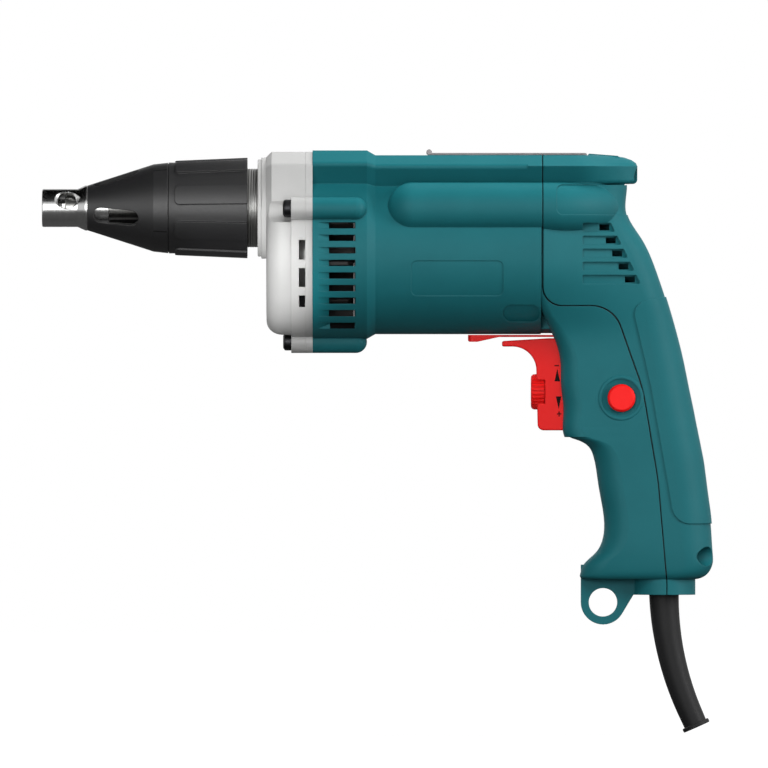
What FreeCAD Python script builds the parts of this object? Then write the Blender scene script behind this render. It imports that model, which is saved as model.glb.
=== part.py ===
"""Drywall screwdriver, whole tool. Millimetres; +X runs from the nose back along the spindle, +Z is up.

The origin is the centre of the nose face. Every size is a cell of the sheet; a Size keeps a cell's
number together with its formula, so that one sum serves both the sketches and the worked-out shapes.
"""
import FreeCAD, Part
import math
import operator
import os
from types import SimpleNamespace

import Sketcher

Vector = FreeCAD.Vector
Rotation = FreeCAD.Rotation

SIZES = {
    # Clearances, and how far a cut runs past the surface
    "seat_gap": 0.05,
    "run_gap": 0.04,
    "free_gap": 0.3,
    "seam_gap": 0.45,
    "overrun": 8.0,
    # Steel nose tip
    "tip_length": 19.1,
    "tip_straight": 14.9,
    "tip_radius": 8.0,
    "tip_flare_radius": 9.5,
    "tip_flare_land": 0.9,
    "tip_edge": 0.7,
    "tip_bore_radius": 5.7,
    "tip_tail_radius": 7.2,
    "tip_tail_length": 9.0,
    "side_hole_place": 10.5,
    "side_hole_radius": 3.9,
    "side_hole_angle": 26.6,
    "side_hole_sink": 1.2,
    # Locator cone
    "cone_length": 27.8,
    "cone_front_radius": 9.4,
    "cone_rear_radius": 18.35,
    "cone_wall": 2.4,
    "band_length": 6.1,
    "band_radius": 19.0,
    "spigot_length": 6.5,
    "spigot_radius": 16.9,
    "spigot_wall": 2.2,
    "window_place": 21.7,
    "window_length": 19.0,
    "window_width": 6.6,
    "window_angle": 17.0,
    # Adjusting ring and its click ring
    "ring_length": 33.0,
    "ring_nose_length": 2.6,
    "ring_nose_radius": 19.1,
    "pad_front_radius": 19.9,
    "pad_rear_radius": 21.2,
    "pad_height": 0.8,
    "pad_angle": 22.5,
    "pad_turn": 29.0,
    "pad_corner": 2.0,
    "click_place": 26.0,
    "click_thickness": 1.5,
    "click_width": 1.8,
    "click_key_width": 2.2,
    "click_key_depth": 0.9,
    # Neck, bush and seal
    "neck_gap": 4.3,
    "neck_setback": 9.2,
    "neck_radius": 16.4,
    "neck_bore_radius": 11.5,
    "clutch_room_radius": 12.5,
    "neck_key_length": 22.0,
    "seal_length": 1.6,
    "bush_length": 17.9,
    # Spindle, bit holder and bit
    "spindle_reach": 16.5,
    "spindle_radius": 8.0,
    "spindle_edge": 1.2,
    "clutch_radius": 11.2,
    "clutch_flange": 3.5,
    "jaw_height": 2.0,
    "jaw_inner_radius": 7.6,
    "jaw_angle": 40.0,
    "push_travel": 3.2,
    "stub_radius": 4.9,
    "stub_end_room": 1.3,
    "hex_width": 6.35,
    "shank_length": 21.0,
    "holder_front": 9.7,
    "holder_length": 35.0,
    "holder_radius": 5.0,
    "holder_edge": 0.6,
    "magnet_length": 4.0,
    "magnet_radius": 2.9,
    "bit_front": 0.6,
    "bit_length": 25.0,
    "bit_tip_radius": 0.8,
    "bit_taper_length": 4.2,
    "bit_neck_radius": 2.9,
    "bit_neck_length": 3.6,
    "bit_flute_radius": 1.5,
    "bit_flute_place": 2.45,
    # Clutch and gears
    "washer_thickness": 1.2,
    "washer_radius": 7.3,
    "clutch_wire": 0.9,
    "clutch_coil_radius": 6.2,
    "gear_module": 0.76,
    "gear_backlash": 0.08,
    "gear_hub_length": 3.0,
    "gear_width": 8.0,
    "gear_room_radius": 17.2,
    "pinion_room_radius": 6.2,
    "gear_washer_radius": 8.6,
    "pilot_radius": 7.0,
    "pilot_boss_radius": 9.4,
    # Gear housing and its cover plate
    "collar_length": 3.7,
    "collar_step": 1.5,
    "collar_lip_radius": 20.4,
    "collar_radius": 21.3,
    "collar_edge": 0.4,
    "case_length": 16.4,
    "case_inset": 0.6,
    "case_rim_step": 0.6,
    "case_corner": 6.5,
    "case_chamfer": 2.2,
    "case_wall": 3.6,
    "case_duct_front": 4.4,
    "gear_wall": 3.0,
    "plate_thickness": 3.0,
    "boss_length": 6.0,
    "boss_radius": 4.7,
    "screw_circle": 37.2,
    "screw_channel_radius": 5.7,
    "screw_radius": 2.0,
    "screw_head_radius": 3.65,
    "screw_head_height": 2.4,
    "screw_length": 25.0,
    "vent_depth": 2.7,
    "vent_inside": 27.0,
    "duct_hole_radius": 4.3,
    "duct_hole_circle": 23.5,
    "duct_hole_spread": 38.0,
    # Motor housing
    "barrel_radius": 34.0,
    "barrel_length": 96.2,
    "flange_step": 2.0,
    "flange_length": 22.8,
    "flange_slope": 3.5,
    "top_height": 22.0,
    "top_half_width": 19.0,
    "facet_drop": 4.6,
    "side_half_width": 26.0,
    "roof_corner": 1.6,
    "waist_height": 8.0,
    "bore_radius": 30.6,
    "chamber_radius": 33.0,
    "chamber_length": 19.3,
    "rear_wall": 5.9,
    "bearing_boss_radius": 13.6,
    "bearing_boss_length": 4.0,
    "air_hole_radius": 4.5,
    "air_hole_circle": 21.0,
    "bulge_radius": 10.3,
    "bulge_offset": 26.5,
    "bulge_height": 0.2,
    "bulge_setback": 5.2,
    "bulge_rear": 2.8,
    "bulge_bend": 22.0,
    "slot_front": 6.9,
    "slot_length": 11.1,
    "slot_top": 7.5,
    "slot_pitch": 5.25,
    "slot_height": 2.6,
    "slot_ramp": 4.5,
    "slot_ramp_depth": 1.7,
    "slot_inside": 17.0,
    "oval_place": 79.8,
    "oval_height": 44.3,
    "oval_length": 15.5,
    "oval_width": 7.1,
    "oval_depth": 0.8,
    "dent_place": 41.3,
    "dent_top": 22.3,
    "dent_length": 38.6,
    "dent_height": 14.7,
    "dent_corner": 2.5,
    "dent_depth": 0.3,
    # Handle and handle cover
    "overall_length": 282.0,
    "handle_drop": 155.8,
    "handle_half_width": 17.5,
    "panel_depth": 0.35,
    "grip_height": 0.5,
    "louvre_depth": 1.6,
    "louvre_front": 17.0,
    "louvre_rear": 28.8,
    "louvre_slope": 0.49,
    "louvre_top": 6.4,
    "louvre_pitch": 5.46,
    "louvre_height": 3.75,
    "louvre_opening": 4.8,
    "louvre_inside": 8.0,
    "cover_rib": 2.0,
    "louvre_corner": 0.6,
    "panel_front": 6.0,
    "panel_rear": 42.0,
    "panel_top": 9.6,
    "panel_bottom": 3.0,
    "panel_corner": 2.5,
    "cap_length": 40.1,
    "cap_side": 20.0,
    "cap_end_half_width": 11.0,
    "cap_corner": 13.0,
    "cap_end_corner": 7.0,
    "cap_base": 10.1,
    "cap_edge": 1.8,
    "cap_top_side": 16.0,
    "cap_top_end": 27.0,
    "cap_top_half_width": 8.0,
    "rib_front": 19.3,
    "rib_length": 13.0,
    "rib_height": 0.8,
    "rib_drop": 0.2,
    "rib_half_width": 10.0,
    "seam_drop": 41.3,
    "switch_front": 232.0,
    "switch_length": 24.0,
    "switch_half_width": 11.0,
    "switch_top": 57.0,
    "switch_height": 35.2,
    "pocket_front": 241.0,
    "pocket_half_width": 13.0,
    "pocket_top": 98.0,
    "pocket_bottom": 139.0,
    "eye_place": 235.6,
    "eye_drop": 165.6,
    "eye_radius": 6.0,
    "eye_wall": 3.3,
    "eye_half_width": 4.5,
    "eye_edge": 2.2,
    "eye_root": 15.4,
    "eye_angle": 31.0,
    "base_radius": 13.2,
    "base_drop": 162.4,
    "cover_screw_radius": 1.9,
    "cover_screw_head": 3.4,
    "cover_screw_length": 30.0,
    "cover_recess_radius": 4.1,
    "low_screw_seat": 272.6,
    "low_screw_drop": 146.3,
    "low_screw_side": 11.0,
    "top_screw_seat": 226.0,
    "top_screw_height": 13.2,
    "top_screw_side": 7.0,
    # Trigger, dial, lever and lock button
    "trigger_half_width": 6.0,
    "trigger_travel": 7.0,
    "trigger_edge": 0.6,
    "trigger_top": 54.7,
    "trigger_bottom": 93.4,
    "trigger_rear": 224.5,
    "trigger_face": 208.2,
    "trigger_horn": 193.2,
    "trigger_horn_depth": 3.5,
    "trigger_horn_drop": 1.2,
    "trigger_knee": 212.5,
    "trigger_curve": 10.0,
    "trigger_toe": 2.6,
    "trigger_tip_corner": 0.8,
    "plunger_radius": 2.4,
    "plunger_length": 11.5,
    "plunger_drop": 75.0,
    "plunger_room": 9.0,
    "spring_room_radius": 5.2,
    "spring_room_depth": 5.0,
    "trigger_coil_radius": 4.0,
    "trigger_wire": 0.6,
    "dial_radius": 7.45,
    "dial_front": 205.3,
    "dial_length": 5.7,
    "dial_drop": 77.2,
    "dial_edge": 1.6,
    "dial_groove_width": 0.9,
    "dial_groove_depth": 0.5,
    "dial_pin_radius": 1.5,
    "dial_pin_length": 3.0,
    "lever_front": 178.9,
    "lever_pivot": 236.0,
    "lever_half_width": 3.0,
    "lever_thickness": 0.9,
    "lever_tab_length": 13.0,
    "lever_tab_half_width": 5.0,
    "lever_tab_height": 2.9,
    "lever_tab_slope": 9.0,
    "lever_tail": 4.0,
    "lever_pin_radius": 1.9,
    "lever_pin_length": 5.5,
    "button_place": 243.2,
    "button_drop": 79.8,
    "button_radius": 5.8,
    "button_reach": 2.2,
    "button_length": 6.2,
    "button_edge": 0.8,
    "dish_radius": 9.4,
    "dish_depth": 1.0,
    "lock_socket_radius": 6.6,
    "lock_socket_depth": 2.2,
    "lock_coil_radius": 3.6,
    "lock_wire": 0.5,
    # Motor
    "bearing_radius": 11.0,
    "bearing_width": 7.0,
    "bearing_edge": 0.5,
    "bearing_setback": 0.2,
    "rear_bearing_radius": 9.5,
    "rear_bearing_width": 6.0,
    "rear_bearing_setback": 7.9,
    "bearing_sleeve_wall": 1.5,
    "shaft_radius": 4.0,
    "rear_journal_radius": 3.0,
    "shaft_end_room": 1.0,
    "fan_gap": 3.5,
    "fan_length": 13.8,
    "fan_radius": 31.0,
    "fan_corner": 2.5,
    "fan_disc": 1.6,
    "fan_hub_radius": 8.0,
    "fan_blade": 1.5,
    "baffle_thickness": 1.5,
    "baffle_bore_radius": 20.0,
    "coil_front": 13.0,
    "field_length": 38.0,
    "field_radius": 30.3,
    "yoke_wall": 4.5,
    "pole_radius": 17.7,
    "pole_shoe": 3.0,
    "pole_neck": 9.0,
    "pole_angle": 116.0,
    "coil_angle": 108.0,
    "coil_overhang_front": 7.0,
    "coil_overhang_rear": 5.0,
    "core_radius": 17.0,
    "core_slot_width": 2.8,
    "core_slot_depth": 8.0,
    "winding_gap": 0.6,
    "winding_overhang_front": 8.0,
    "winding_overhang_rear": 3.6,
    "winding_radius": 15.0,
    "winding_edge": 1.5,
    "commutator_gap": 4.4,
    "commutator_length": 10.6,
    "commutator_radius": 11.0,
    "commutator_slit_width": 0.5,
    "commutator_slit_depth": 1.0,
    "brush_width": 6.6,
    "brush_height": 5.0,
    "brush_length": 10.0,
    "holder_wall": 1.0,
    "holder_clear": 1.6,
    "holder_reach": 30.0,
    "brush_wire": 0.5,
    "brush_coil_radius": 1.8,
    # Handle contents
    "capacitor_length": 12.0,
    "capacitor_half_width": 8.0,
    "capacitor_height": 14.0,
    "capacitor_drop": 105.0,
    "clamp_post_radius": 3.2,
    "clamp_post_length": 15.8,
    "clamp_post_side": 8.5,
    "clamp_drop": 128.0,
    "clamp_thickness": 3.0,
    "clamp_half_height": 4.0,
    "clamp_edge": 1.5,
    "clamp_screw_radius": 1.5,
    "clamp_screw_head": 2.8,
    "clamp_screw_head_height": 1.8,
    "clamp_screw_depth": 10.0,
    # Cord guard
    "guard_place": 261.2,
    "guard_top_radius": 6.6,
    "guard_end_radius": 4.85,
    "guard_bore_radius": 3.9,
    "guard_flange_radius": 9.0,
    "guard_flange_drop": 147.5,
    "guard_flange_height": 3.0,
    "guard_bend_drop": 160.0,
    "guard_bend_radius": 127.0,
    "guard_bend_angle": 24.0,
    "guard_end_length": 7.0,
    "guard_lip_radius": 5.9,
    "guard_lip_length": 1.7,
    "guard_lip_edge": 0.4,
    # Belt hook
    "hook_front": 161.4,
    "hook_rear": 18.9,
    "hook_thickness": 0.9,
    "hook_lift": 0.15,
    "hook_half_width": 8.0,
    "hook_curl_radius": 1.2,
    "hook_tab_depth": 4.2,
    "hook_bend": 0.8,
}

# Counts
PINION_TEETH = 10
GEAR_TEETH = 40
WINDOW_COUNT = 4
PAD_COUNT = 8
JAW_COUNT = 3
SLOT_COUNT = 9
LOUVRE_COUNT = 5
FAN_BLADES = 11
CAP_STEPS = 5
CORE_SLOTS = 12
COMMUTATOR_BARS = 24
DIAL_GROOVES = 28
BIT_FLUTES = 4
AIR_HOLES = 6
CLUTCH_TURNS = 3
TRIGGER_TURNS = 6
LOCK_TURNS = 3
BRUSH_TURNS = 5
COIL_STEPS = 4
HEX_SIDES = 6
LOFT_DEGREE = 3

# Shares: a rounded slot end as a part of its width, how far the housing's upper walls lean in for
# each millimetre down, and the gear teeth's pressure angle and shift
ROUND_END_SHARE = 0.49
WALL_LEAN_SHARE = 0.8
TOOTH_SHIFT_SHARE = 0.45
ADDENDUM_SHARE = 1.0
DEDENDUM_SHARE = 1.25
PRESSURE_ANGLE = 20.0
FLANK_SHARES = (0.0, 0.25, 0.5, 0.75, 1.0)
VENT_SHARES = ((0.5, 0.232), (0.829, 0.223), (1.116, 0.153))

# Handle sections: level as a share of the drop, front and rear as shares of the overall length,
# half widths at front and rear and the roundings as shares of the handle's half width.
UPPER_HANDLE_SHARES = (
    (-0.061, 0.7376, 0.8723, 1.486, 1.086, 0.10, 0.63),
    (0.0, 0.7376, 0.8699, 1.611, 1.063, 0.10, 0.63),
    (0.0546, 0.7376, 0.8819, 1.834, 1.057, 0.10, 0.63),
    (0.122, 0.7376, 0.9039, 1.937, 1.046, 0.10, 0.63),
    (0.199, 0.7376, 0.9199, 1.811, 1.029, 0.12, 0.64),
    (0.2696, 0.742, 0.9326, 1.44, 1.011, 0.18, 0.66),
    (0.3273, 0.757, 0.9418, 1.12, 0.994, 0.28, 0.69),
    (0.398, 0.7706, 0.9518, 1.011, 0.983, 0.40, 0.72),
    (0.449, 0.7724, 0.9577, 1.005, 0.977, 0.41, 0.73),
    (0.5006, 0.7741, 0.9635, 1.0, 0.971, 0.42, 0.74),
    (0.558, 0.7762, 0.9701, 1.0, 0.968, 0.42, 0.74),
    (0.6175, 0.7784, 0.9766, 1.0, 0.966, 0.42, 0.74),
)
LOWER_HANDLE_SHARES = (
    (0.5905, 0.7801, 0.9738, 1.0, 0.966, 0.45, 0.74),
    (0.6136, 0.783, 0.9762, 1.0, 0.966, 0.45, 0.74),
    (0.6226, 0.7922, 0.9773, 0.997, 0.966, 0.47, 0.74),
    (0.6329, 0.8067, 0.9784, 0.993, 0.966, 0.50, 0.74),
    (0.6483, 0.8163, 0.9801, 0.985, 0.966, 0.54, 0.74),
    (0.674, 0.822, 0.983, 0.975, 0.966, 0.57, 0.74),
    (0.7548, 0.8294, 0.989, 0.965, 0.965, 0.58, 0.74),
    (0.8357, 0.8369, 0.995, 0.96, 0.96, 0.58, 0.74),
    (0.8896, 0.8355, 0.9972, 0.96, 0.955, 0.58, 0.73),
    (0.9178, 0.8294, 0.9982, 0.95, 0.95, 0.57, 0.72),
    (0.9435, 0.8163, 0.9993, 0.92, 0.94, 0.56, 0.71),
    (0.9705, 0.8043, 0.9965, 0.87, 0.92, 0.54, 0.70),
    (0.9884, 0.8014, 0.9894, 0.82, 0.87, 0.50, 0.66),
    (1.0, 0.8074, 0.9752, 0.72, 0.76, 0.45, 0.58),
)
CAVITY_SHARES = (
    (-0.032, 0.709, 0.8564, 1.286, 0.857, 0.15, 0.5),
    (0.122, 0.709, 0.890, 1.686, 0.857, 0.15, 0.5),
    (0.2696, 0.723, 0.9202, 1.22, 0.817, 0.15, 0.5),
    (0.385, 0.759, 0.939, 0.817, 0.794, 0.15, 0.5),
    (0.616, 0.78, 0.9645, 0.811, 0.777, 0.15, 0.5),
    (0.8986, 0.837, 0.985, 0.777, 0.754, 0.15, 0.5),
)
# Corners of the seam and of the grip panel: places along the overall length and drops of the handle
SEAM_SHARES = ((0.8496, 0.265, 0.75), (0.8936, 0.4904, 3.4), (0.9160, 0.7330, 5.7), (0.9294, 1.011, 0.0))
GRIP_SHARES = ((0.8777, 0.257, 0.34), (0.9057, 0.4769, 3.4), (0.9309, 0.738, 3.4), (0.9415, 0.8505, 0.45))

doc = FreeCAD.newDocument("drywall_screwdriver")
sheet = doc.addObject("Spreadsheet::Sheet", "Sizes")
for row, (alias, value) in enumerate(SIZES.items(), start=1):
    sheet.set(f"A{row}", alias)
    sheet.set(f"B{row}", str(value))
    sheet.setAlias(f"B{row}", alias)
doc.recompute()

OPERATIONS = {"+": operator.add, "-": operator.sub, "*": operator.mul, "/": operator.truediv}


class Size:
    """A cell of the sheet, or a sum of several: its number, and the formula that binds it."""

    def __init__(self, number, formula):
        self.number = float(number)
        self.formula = formula

    def __add__(self, other):
        return joined(self, "+", other)

    def __radd__(self, other):
        return joined(other, "+", self)

    def __sub__(self, other):
        return joined(self, "-", other)

    def __rsub__(self, other):
        return joined(other, "-", self)

    def __mul__(self, other):
        return joined(self, "*", other)

    def __rmul__(self, other):
        return joined(other, "*", self)

    def __truediv__(self, other):
        return joined(self, "/", other)

    def __neg__(self):
        return joined(0, "-", self)


def as_size(value):
    """Plain numbers, such as zero or a share, join in sums as they are."""
    if isinstance(value, Size):
        return value
    return Size(value, f"({float(value)!r})")


def joined(left, sign, right):
    left = as_size(left)
    right = as_size(right)
    number = OPERATIONS[sign](left.number, right.number)
    return Size(number, f"({left.formula} {sign} {right.formula})")


def sine(angle):
    return Size(math.sin(math.radians(angle.number)), f"sin({angle.formula})")


def cosine(angle):
    return Size(math.cos(math.radians(angle.number)), f"cos({angle.formula})")


S = SimpleNamespace(**{alias: Size(sheet.get(alias), f"Sizes.{alias}") for alias in SIZES})

# Places along the spindle, each worked out from the one before
cone_end = S.tip_length + S.cone_length
band_end = cone_end + S.band_length
spigot_end = band_end + S.spigot_length
ring_start = band_end + S.free_gap
ring_end = ring_start + S.ring_length
collar_front = ring_end + S.neck_gap
collar_back = collar_front + S.collar_length
case_back = collar_back + S.case_length
boss_front = case_back - S.boss_length
plate_back = case_back + S.plate_thickness
flange_back = plate_back + S.flange_length
main_front = flange_back + S.flange_slope
seam_place = plate_back + S.barrel_length
wall_front = seam_place - S.rear_wall
neck_front = ring_start + S.neck_setback
bush_front = neck_front + S.seal_length
bush_back = bush_front + S.bush_length
clutch_front = bush_back + S.free_gap
clutch_back = clutch_front + S.clutch_flange
spindle_jaw_tip = clutch_back + S.jaw_height
gear_jaw_tip = spindle_jaw_tip + S.push_travel + S.free_gap
gear_face = gear_jaw_tip + S.jaw_height
gear_front = gear_face + S.gear_hub_length
gear_back = gear_front + S.gear_width
pilot_front = gear_back + S.washer_thickness + S.seat_gap * 2
spindle_front = neck_front - S.spindle_reach
stub_end = plate_back - S.push_travel - S.stub_end_room

# Places along the motor axis
motor_drop = S.gear_module * (PINION_TEETH + GEAR_TEETH) / 2
bearing_back = plate_back - S.bearing_setback
bearing_front = bearing_back - S.bearing_width
chamber_back = plate_back + S.chamber_length
field_front = chamber_back + S.coil_front
field_back = field_front + S.field_length
fan_front = plate_back + S.fan_gap
fan_back = fan_front + S.fan_length
commutator_front = field_back + S.commutator_gap
commutator_back = commutator_front + S.commutator_length
brush_place = (commutator_front + commutator_back) / 2
rear_bearing_front = seam_place - S.rear_bearing_setback
rear_bearing_back = rear_bearing_front + S.rear_bearing_width
shaft_end = rear_bearing_back + S.shaft_end_room

ALONG = {
    "x": Rotation(Vector(0, 1, 0), 90),
    "y": Rotation(Vector(1, 0, 0), -90),
    "z": Rotation(),
}
PLANES = {
    "xy": (Rotation(), "z", Vector(0, 0, 1)),
    "xz": (Rotation(Vector(1, 0, 0), 90), "y", Vector(0, 1, 0)),
    "yz": (Rotation(Vector(1, 1, 1), 120), "x", Vector(1, 0, 0)),
}
# Turns a cylinder onto X with its seam on +Y, so that an angle counts from +Y towards +Z
AROUND = Rotation(Vector(1, 1, 1), 120)
QUARTER_BACK = Rotation(Vector(0, 0, 1), -90)
pieces = []


def finished(item, node):
    """Name an object as a sub-part of its own."""
    item.Label = node
    pieces.append(item)
    return item


def bind(item, name, size):
    item.setExpression(name, as_size(size).formula)


def place(item, x=0, y=0, z=0, turn=None):
    """Put an object at a point, turned as given."""
    if turn is not None:
        item.Placement = FreeCAD.Placement(Vector(), turn)
    for axis, size in (("x", x), ("y", y), ("z", z)):
        bind(item, f"Placement.Base.{axis}", size)
    return item


def along(axis, start, at):
    """A point from its place along an axis and its two other coordinates."""
    if axis == "x":
        return start, at[0], at[1]
    if axis == "y":
        return at[0], start, at[1]
    return at[0], at[1], start


def rod(name, radius, start, end, axis="x", at=(0, 0)):
    item = doc.addObject("Part::Cylinder", name)
    bind(item, "Radius", radius)
    bind(item, "Height", as_size(end) - start)
    return place(item, *along(axis, start, at), turn=ALONG[axis])


def taper(name, start_radius, end_radius, start, end, axis="x", at=(0, 0)):
    item = doc.addObject("Part::Cone", name)
    bind(item, "Radius1", start_radius)
    bind(item, "Radius2", end_radius)
    bind(item, "Height", as_size(end) - start)
    return place(item, *along(axis, start, at), turn=ALONG[axis])


def ball(name, radius, x, y, z):
    item = doc.addObject("Part::Sphere", name)
    bind(item, "Radius", radius)
    return place(item, x, y, z)


def block(name, xs, ys, zs):
    item = doc.addObject("Part::Box", name)
    for prop, (low, high) in (("Length", xs), ("Width", ys), ("Height", zs)):
        bind(item, prop, as_size(high) - low)
    return place(item, xs[0], ys[0], zs[0])


def both(half):
    """From minus to plus half a width."""
    return -as_size(half), as_size(half)


def hexagon(name, width, start, end):
    """A hexagonal bar on the spindle axis, by its width across flats."""
    item = doc.addObject("Part::Prism", name)
    item.Polygon = HEX_SIDES
    bind(item, "Circumradius", width / 2 / math.cos(math.pi / HEX_SIDES))
    bind(item, "Height", as_size(end) - start)
    return place(item, start, turn=ALONG["x"])


def fuse(name, *items):
    item = doc.addObject("Part::MultiFuse", name)
    item.Shapes = list(items)
    return item


def cut(name, base, *tools):
    item = doc.addObject("Part::Cut", name)
    item.Base = base
    item.Tool = tools[0] if len(tools) == 1 else fuse(name + "_tools", *tools)
    return item


def common(name, *items):
    item = doc.addObject("Part::MultiCommon", name)
    item.Shapes = list(items)
    return item


def draw(sketch, corners):
    """Draw a closed outline in a sketch through corners (u, v) or (u, v, rounding)."""
    count = len(corners)
    spots = [Vector(as_size(u).number, as_size(v).number, 0) for u, v, *_ in corners]
    sketch.addGeometry([Part.LineSegment(spots[i], spots[(i + 1) % count]) for i in range(count)], False)
    ends = [Sketcher.Constraint("Coincident", i, 2, (i + 1) % count, 1) for i in range(count)]
    sketch.addConstraint(ends)
    for i, (u, v, *_) in enumerate(corners):
        for kind, size in (("DistanceX", u), ("DistanceY", v)):
            measure = Sketcher.Constraint(kind, -1, 1, i, 1, as_size(size).number)
            bind(sketch, f"Constraints[{sketch.addConstraint(measure)}]", size)
    for i, (u, v, *rounding) in enumerate(corners):
        if rounding:
            sketch.fillet((i - 1) % count, 2, rounding[0].number, True, True)
            arc = Sketcher.Constraint("Radius", sketch.GeometryCount - 2, rounding[0].number)
            bind(sketch, f"Constraints[{sketch.addConstraint(arc)}]", rounding[0])
    return sketch


def drawing(name, plane, corners, level=0):
    """A free outline on a plane, for a prism or a loft."""
    sketch = doc.addObject("Sketcher::SketchObject", name)
    turn, axis, _ = PLANES[plane]
    sketch.Placement = FreeCAD.Placement(Vector(), turn)
    bind(sketch, f"Placement.Base.{axis}", level)
    return draw(sketch, corners)


def prism(name, plane, corners, low, high):
    """An outline extruded square to its plane."""
    item = doc.addObject("Part::Extrusion", name)
    item.Base = drawing(name + "_outline", plane, corners)
    item.DirMode = "Custom"
    item.Dir = PLANES[plane][2]
    item.Solid = True
    bind(item, "LengthFwd", high)
    bind(item, "LengthRev", -as_size(low))
    return item


def loft(name, sections, ruled=False):
    item = doc.addObject("Part::Loft", name)
    item.Sections = sections
    item.Solid = True
    item.Ruled = ruled
    item.MaxDegree = LOFT_DEGREE
    return item


def body_sketch(body, name, role, corners):
    sketch = body.newObject("Sketcher::SketchObject", name)
    plane = next(f for f in body.Origin.OriginFeatures if f.Role == role)
    sketch.AttachmentSupport = [(plane, "")]
    sketch.MapMode = "FlatFace"
    return draw(sketch, corners)


def turned(name, corners, drop=0, angle=None):
    """A body of revolution about X, from corners (place, radius); drop lowers its axis."""
    body = doc.addObject("PartDesign::Body", name)
    sketch = body_sketch(body, name + "_profile", "XZ_Plane", corners)
    spin = body.newObject("PartDesign::Revolution", name + "_turning")
    spin.Profile = sketch
    spin.ReferenceAxis = (sketch, ["H_Axis"])
    if angle is not None:
        body.Placement = FreeCAD.Placement(Vector(), Rotation(Vector(1, 0, 0), angle.number))
        bind(body, "Placement.Rotation.Angle", angle)
    bind(body, "Placement.Base.z", -as_size(drop))
    return body


def tube(name, inner, outer, start, end, drop=0):
    corners = [(start, inner), (start, outer), (end, outer), (end, inner)]
    return turned(name, corners, drop)


def polar(body, feature, sketch, count):
    """Repeat a body's feature around its X axis."""
    pattern = body.newObject("PartDesign::PolarPattern", body.Name + "_pattern")
    pattern.Originals = [feature]
    pattern.Axis = (sketch, ["H_Axis"])
    pattern.Angle = 360
    pattern.Occurrences = count
    body.Tip = pattern
    return pattern


def pocket(body, name, role, corners, depth):
    """Cut an outline out of a body, from the axis outwards."""
    sketch = body_sketch(body, name + "_outline", role, corners)
    feature = body.newObject("PartDesign::Pocket", name)
    feature.Profile = sketch
    bind(feature, "Length", depth)
    return feature, sketch


def slot_corners(start, end, low, high):
    """A slot with round ends."""
    rounding = (as_size(high) - low) * ROUND_END_SHARE
    return [(start, low, rounding), (end, low, rounding), (end, high, rounding), (start, high, rounding)]


def helix_place(radius, rise, turn):
    """A point on a coil's centre line, that many turns up, and the direction the line takes there."""
    angle = 2 * math.pi * turn
    point = Vector(radius * math.cos(angle), radius * math.sin(angle), rise * turn)
    heading = Vector(-radius * math.sin(angle), radius * math.cos(angle), rise / (2 * math.pi))
    return point, heading.normalize()


def tangent_arc(start, corner, end):
    """The arc from start to end whose tangents meet in the corner."""
    middle = (start + end) / 2
    half = (end - start).Length / 2
    cosine_half = half / (corner - start).Length
    bulge = half * math.sqrt(1 - cosine_half ** 2) / (1 + cosine_half)
    return Part.Arc(start, middle + (corner - middle).normalize() * bulge, end).toShape()


def coil(name, wire, radius, turns, start, end, axis="x", at=(0, 0)):
    """A compression spring of wire of that radius between two places, on pairs of tangent arcs."""
    rise = (as_size(end) - start - wire * 2).number / turns
    arcs = []
    for step in range(turns * COIL_STEPS):
        low, leaving = helix_place(radius.number, rise, step / COIL_STEPS)
        high, arriving = helix_place(radius.number, rise, (step + 1) / COIL_STEPS)
        chord = high - low
        bend = 2 - 2 * leaving.dot(arriving)
        drift = chord.dot(leaving + arriving)
        reach = (math.sqrt(drift ** 2 + bend * chord.dot(chord)) - drift) / bend
        first_corner = low + leaving * reach
        second_corner = high - arriving * reach
        meeting = (first_corner + second_corner) / 2
        arcs += [tangent_arc(low, first_corner, meeting), tangent_arc(meeting, second_corner, high)]
    foot, heading = helix_place(radius.number, rise, 0)
    profile = Part.Wire(Part.Circle(foot, heading, wire.number).toShape())
    spring = doc.addObject("Part::Feature", name)
    spring.Shape = Part.Wire(arcs).makePipeShell([profile], True, False)
    base = [as_size(value).number for value in along(axis, as_size(start) + wire, at)]
    spring.Placement = FreeCAD.Placement(Vector(*base), ALONG[axis])
    return spring


# Nose: steel tip, cone, adjusting ring and click ring


def locator_tip():
    blank = turned("tip_blank", [
        (0, S.tip_bore_radius),
        (0, S.tip_radius, S.tip_edge),
        (S.tip_straight, S.tip_radius),
        (S.tip_length - S.tip_flare_land, S.tip_flare_radius),
        (S.tip_length, S.tip_flare_radius),
        (S.tip_length, S.tip_tail_radius),
        (S.tip_length + S.tip_tail_length, S.tip_tail_radius),
        (S.tip_length + S.tip_tail_length, S.tip_bore_radius),
    ])
    tilt = 90 - S.side_hole_angle
    reach = S.tip_radius + S.side_hole_sink
    hole = rod("tip_hole", S.side_hole_radius, -reach, reach, "z")
    sinks = []
    for side in (1, -1):
        sink = doc.addObject("Part::Cone", "tip_sink")
        bind(sink, "Radius1", S.side_hole_radius)
        bind(sink, "Radius2", S.side_hole_radius + S.side_hole_sink * 2)
        bind(sink, "Height", S.side_hole_sink * 2)
        lift = (S.tip_radius - S.side_hole_sink) * side
        sink.Placement = FreeCAD.Placement(Vector(), Rotation(Vector(1, 0, 0), 90 - 90 * side))
        bind(sink, "Placement.Base.z", lift)
        sinks.append(sink)
    drill = fuse("tip_drill", hole, *sinks)
    drill.Placement = FreeCAD.Placement(Vector(), Rotation(Vector(1, 0, 0), tilt.number))
    bind(drill, "Placement.Rotation.Angle", tilt)
    bind(drill, "Placement.Base.x", S.side_hole_place)
    return finished(cut("tip_drilled", blank, drill), "locator_tip")


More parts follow.
